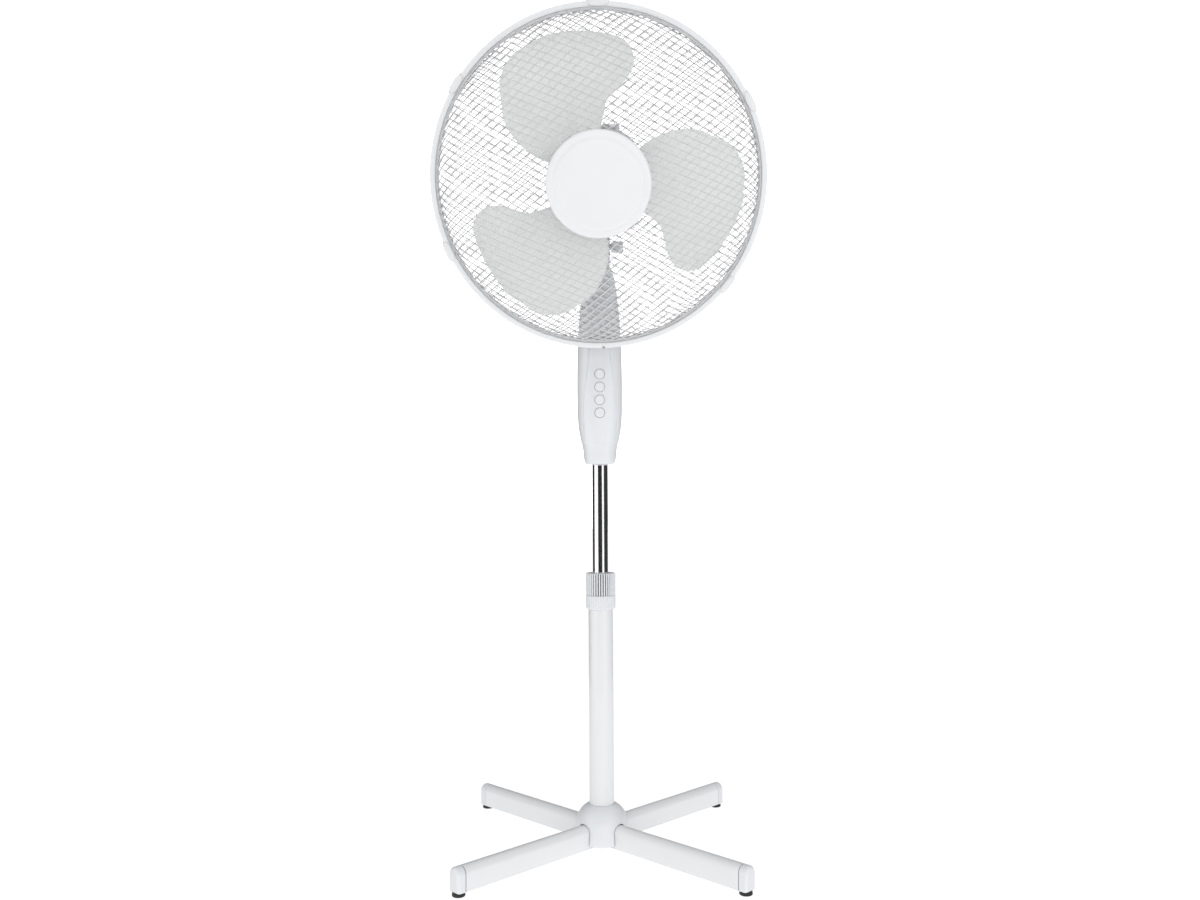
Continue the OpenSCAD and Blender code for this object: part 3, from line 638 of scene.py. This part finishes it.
def build_housing():
    chrome_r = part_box("chrome_tube")[1].x
    for name, ring, cad in (("housing_front_shell", front_ring, "housing_front"),
                            ("housing_rear_shell", rear_ring, "housing_rear")):
        shell = housing_half(name, ring)
        cutters = [cylinder_cutter(chrome_r + 0.4 * MM, (0, 0, HOUSING_LOW - 0.01), (0, 0, HOUSING_LOW + 0.02))]
        if cad == "housing_front":
            for i in range(1, 5):
                low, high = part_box(f"speed_button_{i}")
                z = (low.z + high.z) / 2
                cutters.append(cylinder_cutter(high.x + 0.2 * MM, (0, -0.05, z), (0, -0.012, z)))
        else:
            low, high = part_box("cord_gland")
            z = (low.z + high.z) / 2
            cutters.append(cylinder_cutter(high.x - 1.8 * MM, (0, 0.012, z), (0, 0.05, z)))
            for z in housing_screw_heights():
                cutters.append(cylinder_cutter(3.2 * MM, (0, 0.012, z), (0, 0.05, z)))
        carve(shell, *cutters)
        finish_piece(shell, "mast", "white_plastic", SHELL, cad)


def housing_screw_heights():
    points = [v.co.z for v in frame["nodes"]["housing_screws"].data.vertices]
    middle = (min(points) + max(points)) / 2
    groups = [[z for z in points if z < middle], [z for z in points if z >= middle]]
    return [(min(g) + max(g)) / 2 for g in groups]


def build_buttons():
    for i in range(1, 5):
        low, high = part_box(f"speed_button_{i}")
        z = (low.z + high.z) / 2
        r = high.x - 0.3 * MM
        face = -low.y
        back = face - 9 * MM
        profile = [(0, back), (r, back), (r, face - 1.4 * MM)]
        profile += arc((r - 1.3 * MM, face - 1.4 * MM), 1.3 * MM, 0, 70, 6)[1:]
        profile += [(r * 0.6, face - 0.25 * MM), (r * 0.3, face - 0.45 * MM), (0, face - 0.5 * MM)]
        turn = basis(RIGHT, Vector((0, 0, 1)), Vector((0, -1, 0)), Vector((0, 0, z)))
        button = revolve(f"push_button_{i}", profile, turn, 72)
        finish_piece(button, f"button_{i}", "white_plastic", CAP, f"speed_button_{i}")
        # A dark grey ring deep in the gap round each button: painted shadow
        gap_shadow_profile = fillet([(r + 0.06 * MM, face - 8 * MM), (r + 0.46 * MM, face - 8 * MM),
                       (r + 0.46 * MM, face - 3.6 * MM), (r + 0.06 * MM, face - 3.6 * MM)], 0)
        ring = revolve(f"button_gap_shadow_{i}", gap_shadow_profile, turn, 72)
        finish_piece(ring, "mast", "black_plastic", SHADOW)


def build_neck():
    """The round neck with three ribs, and the two ears that hold the tilt bolt."""
    neck_r = 15.7 * MM
    slot_z = 833 * MM
    tilt_z = JOINTS["head_tilt"]["pos_m"][2]
    base_z = HOUSING_TOP - 3 * MM
    outline = [(0, base_z), (neck_r, base_z)]
    for k in range(3):
        z = HOUSING_TOP + 2.6 * MM + k * 3.2 * MM
        outline += [(neck_r, z), (neck_r - 0.9 * MM, z + 0.3 * MM), (neck_r - 0.9 * MM, z + 1.3 * MM),
                    (neck_r, z + 1.6 * MM)]
    outline += [(neck_r, slot_z), (0, slot_z)]
    parts = [revolve("neck_round", fillet(outline, 0.25 * MM, 2), steps=96)]
    ear_r = 13.6 * MM
    for side in (-1, 1):
        shape = [(-ear_r, slot_z - 1 * MM), (ear_r, slot_z - 1 * MM)] + arc((0, tilt_z), ear_r, 0, 180, 24)
        turn = basis(Vector((0, 1, 0)), Vector((0, 0, 1)), Vector((1, 0, 0)), Vector((0, 0, 0)))
        x0, x1 = (8.2 * MM, neck_r) if side > 0 else (-neck_r, -8.2 * MM)
        ear = extrude("neck_ear", shape, x0, x1, turn)
        parts.append(bevelled(ear, 1.0 * MM, 3))
    neck = shade(join("neck_fork", parts), 40)
    finish_piece(neck, "mast", "white_plastic", SHELL, "neck_post")


def build_tilt_knob():
    low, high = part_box("tilt_knob")
    r = (high.z - low.z) / 2
    centre = Vector(((low.x), (low.y + high.y) / 2, (low.z + high.z) / 2))
    turn = basis(Vector((0, 1, 0)), Vector((0, 0, 1)), Vector((1, 0, 0)), centre)
    length = high.x - low.x
    profile = fillet([(4.06 * MM, 0), (r * 0.8, 0), (r, 3 * MM), (r, length), (0, length), (0, length - 2.4 * MM),
                      (4.06 * MM, length - 2.4 * MM)], [0, 1 * MM, 1 * MM, 1.6 * MM, 0, 0, 0], 5)

    def grip(q, z, a):
        deep = z > 3 * MM and q > r * 0.8
        return q - (0.9 * MM * ((1 + math.cos(12 * a)) / 2) ** 3 if deep else 0)

    knob = revolve("tilt_knob_grip", profile, turn, 144, ripple=grip)
    finish_piece(knob, "tilt_knob", "white_plastic", CAP, "tilt_knob")


# ---------------------------------------------------------------- head

def build_motor_cover():
    low, high = local_box("motor_cover", HEAD)
    centre_z = (low.z + high.z) / 2
    r = high.x
    front, back = low.y, high.y
    dome = 52 * MM
    wall = 2 * MM
    outer = [(r, front), (r, front + 2 * MM), (r - 0.7 * MM, front + 2.4 * MM), (r - 0.7 * MM, front + 3.4 * MM),
             (r, front + 3.8 * MM), (r, back - dome)]
    outer += [(r * math.cos(a), back - dome + dome * math.sin(a)) for a in np.linspace(0.08, math.pi / 2, 26)]
    inner = [((r - wall) * math.cos(a), back - dome + (dome - wall) * math.sin(a))
             for a in np.linspace(math.pi / 2, 0, 22)]
    profile = outer + inner + [(r - wall, front)]
    turn = HEAD @ basis(RIGHT, Vector((0, 0, -1)), Vector((0, 1, 0)), Vector((0, 0, centre_z)))
    cover = revolve("motor_cover_shell", profile, turn, 144)
    for k in range(18):
        a = TAU * k / 18
        slot = box_cutter((-1.6 * MM, 24 * MM, back - dome + 0.014), (1.6 * MM, 46 * MM, back + 0.01),
                          turn @ Matrix.Rotation(a, 4, "Z"))
        carve(cover, slot)
    bracket = cylinder_cutter(17.7 * MM, HEAD @ Vector((0, 0, 20 * MM)), HEAD @ Vector((0, 0, 75 * MM)))
    spindle = local_box("oscillation_knob", HEAD)
    x, y = (spindle[0].x + spindle[1].x) / 2, (spindle[0].y + spindle[1].y) / 2
    knob_r = (spindle[1].x - spindle[0].x) / 2
    top = cylinder_cutter(knob_r + 1 * MM, HEAD @ Vector((x, y, 0.14)), HEAD @ Vector((x, y, 0.2)))
    bottom = cylinder_cutter(3.6 * MM, HEAD @ Vector((x, y, 0.03)), HEAD @ Vector((x, y, 0.08)))
    carve(cover, bracket, top, bottom)
    finish_piece(cover, "head", "white_plastic", SHELL, "motor_cover")


def build_front_plate():
    low, high = local_box("motor_front_plate", RIM)
    cover_low, cover_high = local_box("motor_cover", RIM)
    centre = (cover_low.y + cover_high.y) / 2
    r = cover_high.x
    back, front = low.z, high.z
    plate = revolve("motor_front_disc", fillet([(0, back), (r, back), (r, back + 4 * MM), (0, back + 4 * MM)],
                    [0, 0.4 * MM, 1.6 * MM, 0], 5), RIM @ Matrix.Translation((0, centre, 0)), 128)
    spigot = revolve("motor_front_spigot", fillet(
        [(34 * MM, back + 2 * MM), (44 * MM, back + 2 * MM), (44 * MM, front), (34 * MM, front)], 0.6 * MM, 4), RIM, 96)
    piece = shade(join("motor_front_cover", [plate, spigot]))
    finish_piece(piece, "head", "white_plastic", SHELL, "motor_front_plate")


def build_lock_ring():
    low, high = local_box("grille_lock_ring", RIM)
    r = high.x
    profile = fillet([(44.1 * MM, low.z), (r, low.z), (r, high.z), (44.1 * MM, high.z)],
                     [0.4 * MM, 0.6 * MM, 1.8 * MM, 0.6 * MM], 4)

    def grip(q, z, a):
        return q - (1.4 * MM * ((1 + math.cos(24 * a)) / 2) ** 4 if q > r - 2 * MM else 0)

    ring = revolve("grille_ring_nut", profile, RIM, 240, ripple=grip)
    finish_piece(ring, "head", "white_plastic", TRIM, "grille_lock_ring")


NET_PITCH = 8.9 * MM
WIRE_R = 0.68 * MM
DOME_POWER = 2.3


def dome_table(base_r, base_s, depth):
    """Radius, height and arc length from the middle along a dome's profile."""
    t = np.linspace(0, math.pi / 2, 400)
    r = base_r * np.sin(t) ** (2 / DOME_POWER)
    s = base_s + (depth - base_s) * np.cos(t) ** (2 / DOME_POWER)
    length = np.concatenate([[0], np.cumsum(np.hypot(np.diff(r), np.diff(s)))])
    return r, s, length


def net_paths(table, angle, lift, hole, side):
    """One set of parallel wires of a flat net, pressed into the dome and cut at the inner ring."""
    radius, height, length = table
    reach = length[-1]
    turn = math.radians(angle)
    paths = []
    count = int(reach / NET_PITCH)
    for k in range(-count, count + 1):
        offset = (k + 0.37) * NET_PITCH
        if abs(offset) >= reach - 1 * MM:
            continue
        half = math.sqrt(reach**2 - offset**2)
        u = np.linspace(-half, half, max(8, int(2 * half / (6 * MM))))
        x = u * math.cos(turn) - offset * math.sin(turn)
        y = u * math.sin(turn) + offset * math.cos(turn)
        flat = np.hypot(x, y)
        r = np.interp(flat, length, radius)
        s = np.interp(flat, length, height) + lift
        scale = r / np.maximum(flat, 1e-9)
        points = np.stack([x * scale, y * scale, s * side], axis=1)
        keep = r > hole
        start = None
        for i in range(len(u) + 1):
            inside = i < len(u) and keep[i]
            if inside and start is None:
                start = i
            elif not inside and start is not None:
                if i - start >= 2:
                    paths.append(points[start:i])
                start = None
    return paths


def ring_path(r, s, steps=120):
    return [(r * math.cos(TAU * i / steps), r * math.sin(TAU * i / steps), s) for i in range(steps + 1)]


def build_grille(name, cad, side, angles, hole, depth, material):
    """A guard: two crossed sets of wires pressed into a dome, a hoop and an inner ring."""
    rim_x = local_box(cad, RIM)[1].x
    base_r = rim_x - 6.5 * MM
    table = dome_table(base_r, 4 * MM, depth)
    paths = net_paths(table, angles[0], 0.5 * MM, hole, side) + net_paths(table, angles[1], -0.5 * MM, hole, side)
    net = tubes(name + "_net", paths, WIRE_R, RIM)
    hoop_r = rim_x - 2.4 * MM
    inner_s = float(np.interp(hole, table[0], table[1]))
    rings = [tubes(name + "_hoop", [ring_path(hoop_r, side * 2.8 * MM)], 1.9 * MM, RIM, 12),
             tubes(name + "_ring", [ring_path(hole, side * (inner_s - 0.6 * MM))], 1.6 * MM, RIM, 12)]
    edge = revolve(name + "_edge", [(base_r - 0.3 * MM, side * 1 * MM), (hoop_r, side * 1 * MM),
                                    (hoop_r, side * 4.4 * MM), (base_r - 0.3 * MM, side * 4.4 * MM)], RIM, 180)
    finish_piece(shade(net, 60), "head", "white_wire", material, cad)
    finish_piece(shade(join(name + "_frame", [*rings, edge]), 60), "head", "white_wire", ENAMEL)


def build_rim():
    """The plastic hoop that holds both guards, with clip ears."""
    hoop_r = local_box("front_grille", RIM)[1].x
    r = hoop_r + 3.5 * MM
    inner = r - 7.2 * MM
    half = 8 * MM
    wall = 2.5 * MM
    profile = fillet([(inner, half - wall), (inner, half), (r, half), (r, -half), (inner, -half), (inner, -half + wall),
                      (r - wall, -half + wall), (r - wall, half - wall)],
                     [0.8 * MM, 1.2 * MM, 2.6 * MM, 2.6 * MM, 1.2 * MM, 0.8 * MM, 0.3 * MM, 0.3 * MM], 5)
    parts = [revolve("rim_hoop", profile, RIM, 288)]
    for pivot in CLIP_PIVOTS:
        local = pivot["matrix"]
        for side in (-1, 1):
            ear = box_cutter((side * 13.4 * MM - 1 * MM, pivot["r"] - 3 * MM, -2.2 * MM),
                             (side * 13.4 * MM + 1 * MM, pivot["r"] + 2 * MM, 3.4 * MM), local)
            parts.append(bevelled(ear, 0.5 * MM, 2))
    rim = shade(join("grille_hoop", parts), 40)
    finish_piece(rim, "head", "white_plastic", TRIM, "grille_rim")


def clip_frame(name):
    """Frame of a clip: X round the rim, Y outwards, Z forward, with Z zero at the hinge."""
    position = RIM.inverted() @ joint_vector(name, "pos_m")
    angle = math.atan2(position.y, position.x)
    turn = RIM @ Matrix.Rotation(angle - math.pi / 2, 4, "Z") @ Matrix.Translation((0, 0, position.z))
    return {"matrix": turn, "r": math.hypot(position.x, position.y), "z": position.z}


CLIP_PIVOTS = [clip_frame(f"clip_{i}_open") for i in range(1, 6)]


def build_clips():
    """Spring clips: a bowed bar over the rim with a hook on its face and a barrel at its hinge."""
    rim_r = local_box("front_grille", RIM)[1].x + 3.5 * MM
    half = 12 * MM
    face = 8 * MM
    for i, pivot in enumerate(CLIP_PIVOTS, 1):
        front = face - pivot["z"]
        low = rim_r + 0.3 * MM
        top = low + 2.2 * MM
        hook = rim_r - 7 * MM
        # side view of the clip as (radius, height above the hinge)
        profile = fillet([(low, 0), (top, 0), (top, front + 2.3 * MM), (hook, front + 2.3 * MM),
                          (hook, front + 0.3 * MM), (low, front + 0.3 * MM)],
                         [0.3 * MM, 0.8 * MM, 1.6 * MM, 0.9 * MM, 0.5 * MM, 0.3 * MM], 4)
        rings = []
        for k in range(25):
            u = -1 + 2 * k / 24
            x = u * half
            sag = rim_r - math.sqrt(rim_r**2 - x**2)
            ease = 1.2 * MM * abs(u) ** 6
            bow = 2.2 * MM * u * u
            ring = []
            for y, z in profile:
                on_hook = max(0.0, (low - y) / (low - hook))
                y_new = y - sag - (ease if y > low + 0.5 * MM else 0) + bow * on_hook
                ring.append((x, y_new, z - (ease if z > front + 1.5 * MM else 0)))
            rings.append(ring)
        bar = loft("clip_bar", rings, pivot["matrix"])
        barrel = cylinder_cutter(2.0 * MM, pivot["matrix"] @ Vector((-half, pivot["r"], 0)),
                                 pivot["matrix"] @ Vector((half, pivot["r"], 0)), 32)
        clip = shade(join(f"spring_clip_{i}", [bar, barrel]), 40)
        finish_piece(clip, f"clip_{i}", "white_plastic", CAP, f"rim_clip_{i}")


def build_front_cap():
    low, high = local_box("front_cap", RIM)
    r = high.x
    back, front = low.z, high.z
    profile = [(0, back + 4 * MM), (r - 6 * MM, back + 4 * MM), (r - 6 * MM, back), (r - 2.4 * MM, back)]
    profile += arc((r - 3.6 * MM, back + 3.6 * MM), 3.6 * MM, -60, 80, 12)
    step = r * 0.853
    profile += [(r * 0.92, front - 1.55 * MM), (step + 0.9 * MM, front - 1.35 * MM),
                (step + 0.2 * MM, front - 1.5 * MM), (step - 0.2 * MM, front - 1.15 * MM),
                (step - 1.2 * MM, front - 0.62 * MM)]
    profile += [(step * k / 12, front - 0.5 * MM * (k / 12) ** 2) for k in range(11, -1, -1)]
    cap = revolve("centre_cap", profile, RIM, 160, 50)
    finish_piece(cap, "head", "white_plastic", CAP, "front_cap")


def build_oscillation_knob():
    low, high = local_box("oscillation_knob", HEAD)
    r = (high.x - low.x) / 2
    centre = Vector(((low.x + high.x) / 2, (low.y + high.y) / 2, 0))
    top = high.z
    profile = fillet([(0, low.z), (3 * MM, low.z), (3 * MM, top - 9 * MM), (r - 1 * MM, top - 9 * MM),
                      (r, top - 7.5 * MM), (r, top - 2.5 * MM), (r * 0.75, top), (0, top)],
                     [0, 0, 0.5 * MM, 0.8 * MM, 0.8 * MM, 2 * MM, 2 * MM, 0], 5)

    def grip(q, z, a):
        return q - (0.6 * MM * ((1 + math.cos(16 * a)) / 2) ** 3 if q > r * 0.9 and z < top - 2 * MM else 0)

    knob = revolve("swing_knob", profile, HEAD @ Matrix.Translation(centre), 128, ripple=grip)
    finish_piece(knob, "oscillation_knob", "white_plastic", CAP, "oscillation_knob")


# ---------------------------------------------------------------- rotor

BLADE_SPAN = math.radians(112 - 90)
BLADE_TURN = math.radians(1.5)
BLADE_BEND = 420 * MM
BLADE_LEAN = 0.27 / math.hypot(1, 0.27)
BLADE_DROP = 8 * MM
BLADE_MIDDLE = Vector((-28 * MM, 98 * MM))
BLADE_THICK = 2.0 * MM


def blade_outline():
    """Outline of the first blade in the rim's frame: leading edge, tip and trailing edge."""
    points = [(-2, 28), (2, 72), (8, 101)]
    points += arc((12, 148), 30, -38, 76, 16)
    points += arc((-22, 20), 162, 80, 110, 10)
    points += arc((-70, 112), 55, 108, 196, 16)
    points += arc((-36, 109), 91, 202, 248, 10)
    points += [(-26.5, 9.5)]
    return smooth_closed([(x * MM, y * MM) for x, y in points], 160)


def smooth_closed(points, count):
    """Points spaced evenly along a closed outline, lightly smoothed."""
    p = np.array(points + [points[0]], float)
    length = np.concatenate([[0], np.cumsum(np.linalg.norm(np.diff(p, axis=0), axis=1))])
    at = np.linspace(0, length[-1], count, endpoint=False)
    q = np.stack([np.interp(at, length, p[:, k]) for k in range(2)], axis=1)
    for _ in range(3):
        q = 0.5 * q + 0.25 * (np.roll(q, 1, axis=0) + np.roll(q, -1, axis=0))
    return q


def blade_height(x, y):
    """Height of the curved blade surface, steeper near the hub."""
    across = x * math.cos(BLADE_SPAN) + y * math.sin(BLADE_SPAN)
    centre_x = BLADE_BEND * BLADE_LEAN
    centre_s = BLADE_BEND * math.sqrt(1 - BLADE_LEAN**2) - BLADE_DROP
    surface = centre_s - math.sqrt(BLADE_BEND**2 - (across - centre_x) ** 2)
    near_hub = max(0.0, 1 - math.hypot(x, y) / 0.15)
    return surface - 0.28 * across * near_hub


def blade_mesh(angle):
    outline = blade_outline()
    n, rings = len(outline), 14
    middle = np.array(BLADE_MIDDLE)
    verts = []
    for side in (1, -1):
        for k in range(1, rings + 1):
            share = (k / rings) ** 0.85
            thin = BLADE_THICK / 2 * math.sqrt(max(0.02, 1 - share**14))
            for p in outline:
                q = middle + (p - middle) * share
                verts.append((q[0], q[1], blade_height(q[0], q[1]) + side * thin))
        verts.append((middle[0], middle[1], blade_height(*middle) + side * BLADE_THICK / 2))
    low = n * rings + 1
    faces = []
    for base, centre in ((0, n * rings), (low, low + n * rings)):
        faces += [tuple(base + i for i in f) for f in grid_faces(rings, n)]
        faces += [(centre, base + i, base + (i + 1) % n) for i in range(n)]
    edge = n * (rings - 1)
    faces += [(edge + i, edge + (i + 1) % n, low + edge + (i + 1) % n, low + edge + i) for i in range(n)]
    return make_object("blade", verts, faces, RIM @ Matrix.Rotation(angle, 4, "Z"), 60)


def build_fan():
    hub_r = 30 * MM
    back, front = -24 * MM, 36 * MM
    profile = fillet([(4 * MM, back + 29 * MM), (4 * MM, front), (hub_r, front), (hub_r, back), (hub_r - 4 * MM, back),
                      (hub_r - 4 * MM, back + 29 * MM)], [0, 0.5 * MM, 5 * MM, 1 * MM, 1 * MM, 2 * MM], 6)
    hub = revolve("hub", profile, RIM, 96)
    blades = [blade_mesh(TAU * k / 3 - BLADE_TURN) for k in range(3)]
    fan = shade(join("fan_wheel", [hub, *blades]), 50)
    finish_piece(fan, "rotor", "blade_plastic", BLADE, "fan_blade")


def build_blade_nut():
    low, high = local_box("blade_nut", RIM)
    r = high.x
    profile = fillet([(4.02 * MM, low.z), (r, low.z), (r * 0.85, high.z), (4.02 * MM, high.z)],
                     [0, 0.8 * MM, 3 * MM, 0], 5)

    def grip(q, z, a):
        return q - (1.2 * MM * ((1 + math.cos(8 * a)) / 2) ** 2 if q > 10 * MM else 0)

    nut = revolve("blade_wing_nut", profile, RIM, 128, ripple=grip)
    finish_piece(nut, "rotor", "white_plastic", CAP, "blade_nut")


# ---------------------------------------------------------------- what stays as CAD

def paint_cad_nodes():
    paint_cad(RUBBER, "foot_fl", "foot_fr", "foot_bl", "foot_br")
    paint_cad(STEEL, "hub_socket", "base_screws", "housing_screws", "tilt_bolt", "swivel_pin",
              "oscillation_link", "head_screws", "motor_shaft")
    paint_cad(CAST, "tilt_block", "swivel_bracket", "motor_front_bell", "motor_rear_bell", "rotor_core")
    paint_cad(COPPER, "motor_stator")
    paint_cad(BRASS, "worm_wheel")
    paint_cad(BLACK, "cord_gland", "capacitor", "tube_end_guide")
    paint_cad(INNER, "grip_collet", "switch_body", "gearbox_case")


# ---------------------------------------------------------------- stage, light and camera

CAMERA_DISTANCE = 1.5391
CAMERA_HEIGHT = 0.5248
CAMERA_PITCH = math.radians(1.296)
CAMERA_ROLL = math.radians(-0.3)
FOCAL_SHARE = 1080 / 1200  # focal length over the width of the picture
SENSOR = 36


def build_camera():
    data = bpy.data.cameras.new("camera")
    data.sensor_width = SENSOR
    data.lens = SENSOR * FOCAL_SHARE
    data.clip_start = 0.02
    camera = bpy.data.objects.new("camera", data)
    camera.location = (0, -CAMERA_DISTANCE, CAMERA_HEIGHT)
    camera.rotation_mode = "XYZ"
    level = Matrix.Rotation(math.pi / 2 + CAMERA_PITCH, 4, "X") @ Matrix.Rotation(CAMERA_ROLL, 4, "Z")
    camera.rotation_euler = level.to_euler()
    bpy.context.scene.collection.objects.link(camera)
    bpy.context.scene.camera = camera


def area_light(name, location, target, size, power):
    data = bpy.data.lights.new(name, "AREA")
    data.shape = "RECTANGLE"
    data.size, data.size_y = size
    data.energy = power
    lamp = bpy.data.objects.new(name, data)
    lamp.location = location
    lamp.rotation_euler = (Vector(target) - Vector(location)).to_track_quat("-Z", "Y").to_euler()
    bpy.context.scene.collection.objects.link(lamp)


def reflected_card(name, start, end, glow, radius=1.25, low=0.02, high=1.2):
    """A curved studio card round the mast between two bearings from the front. It shows in reflections only."""
    angles = [math.radians(start + (end - start) * k / 12) for k in range(13)]
    rings = [[(radius * math.sin(a), -radius * math.cos(a), z) for a in angles] for z in (low, high)]
    card = loft(name, rings, capped=False, wrap=False)
    material = new_material(name + "_face", (0.01, 0.01, 0.01), 0.9, Emission_Color=(1, 1, 1, 1),
                            Emission_Strength=glow)
    add_bump(material, noise(material, 20, 2), 0.0005)
    card.data.materials.append(material)
    card.visible_camera = card.visible_shadow = False
    card.visible_diffuse = card.visible_transmission = False


# Radiance of the studio: the mean, and how it changes towards +X, +Y (behind) and +Z (above)
WORLD_LEVEL = 0.54
WORLD_LEAST = 0.12
WORLD_SLOPE = {"X": 0.04, "Y": -0.42, "Z": 0.2}


def build_world():
    """Studio light from all round: brightest in front and above, dim behind."""
    world = bpy.data.worlds.new("studio")
    world.use_nodes = True
    tree = world.node_tree
    back = tree.nodes["Background"]
    place = tree.nodes.new("ShaderNodeTexCoord")
    split = tree.nodes.new("ShaderNodeSeparateXYZ")
    tree.links.new(place.outputs["Generated"], split.inputs["Vector"])
    total = None
    for axis, share in WORLD_SLOPE.items():
        part = tree.nodes.new("ShaderNodeMath")
        part.operation = "MULTIPLY_ADD"
        part.inputs[1].default_value = share
        tree.links.new(split.outputs[axis], part.inputs[0])
        if total is None:
            part.inputs[2].default_value = WORLD_LEVEL
        else:
            tree.links.new(total.outputs[0], part.inputs[2])
        total = part
    least = tree.nodes.new("ShaderNodeMath")
    least.operation = "MAXIMUM"
    least.inputs[1].default_value = WORLD_LEAST
    tree.links.new(total.outputs[0], least.inputs[0])
    back.inputs["Color"].default_value = (0.99, 0.995, 1.0, 1)
    tree.links.new(least.outputs[0], back.inputs["Strength"])
    bpy.context.scene.world = world


def build_backdrop():
    """A white dome that only the camera sees, so that the picture's ground has no horizon."""
    radius = 9.0
    profile = [(radius * math.cos(a), radius * math.sin(a) - 0.3) for a in np.linspace(0, math.pi / 2 - 0.01, 24)]
    verts = [(r * math.cos(TAU * j / 64), r * math.sin(TAU * j / 64), z) for r, z in profile for j in range(64)]
    dome = make_object("backdrop", verts, grid_faces(len(profile), 64))
    material = new_material("backdrop_white", (0.9, 0.9, 0.9), 1.0, Emission_Color=(1, 1, 1, 1), Emission_Strength=1.0)
    add_bump(material, noise(material, 2, 2), 0.001)
    dome.data.materials.append(material)
    dome.visible_shadow = dome.visible_diffuse = False
    dome.visible_glossy = dome.visible_transmission = False


def build_stage():
    bpy.context.scene.view_settings.view_transform = "Standard"
    build_world()
    build_backdrop()
    size = 12.0
    floor = make_object("floor", [(-size, -size, 0), (size, -size, 0), (size, size, 0), (-size, size, 0)],
                        [(0, 1, 2, 3)])
    pale = new_material("pale_floor", (0.3, 0.3, 0.3), 0.8, Emission_Color=(1, 1, 1, 1), Emission_Strength=0.86,
                        Specular_IOR_Level=0.1)
    add_bump(pale, noise(pale, 60, 2), 0.0002)
    floor.data.materials.append(pale)
    area_light("key", (0.3, -2.6, 0.4), (0, 0, 0.6), (1.6, 0.9), 11)
    reflected_card("flag_front", -34, 27, 0.0)
    reflected_card("softbox_left", -94, -36, 1.3)
    reflected_card("softbox_right", 29, 54, 1.3)
    reflected_card("flag_right", 55, 140, 0.02)
    reflected_card("flag_left", -180, -94, 0.01)


# ---------------------------------------------------------------- build it

build_camera()
build_legs()
build_leg_caps()
build_hub()
build_lower_tube()
build_collar()
build_chrome_tube()
build_housing()
build_buttons()
build_neck()
build_tilt_knob()
build_motor_cover()
build_front_plate()
build_lock_ring()
build_grille("front_guard", "front_grille", 1, (43, -22), 60 * MM, 66 * MM, SHADED_WIRE)
build_grille("rear_guard", "rear_grille", -1, (38, -31), 47 * MM, 60 * MM, REAR_SHADOWED_WIRE)
build_rim()
build_clips()
build_front_cap()
build_oscillation_knob()
build_fan()
build_blade_nut()
paint_cad_nodes()
build_stage()
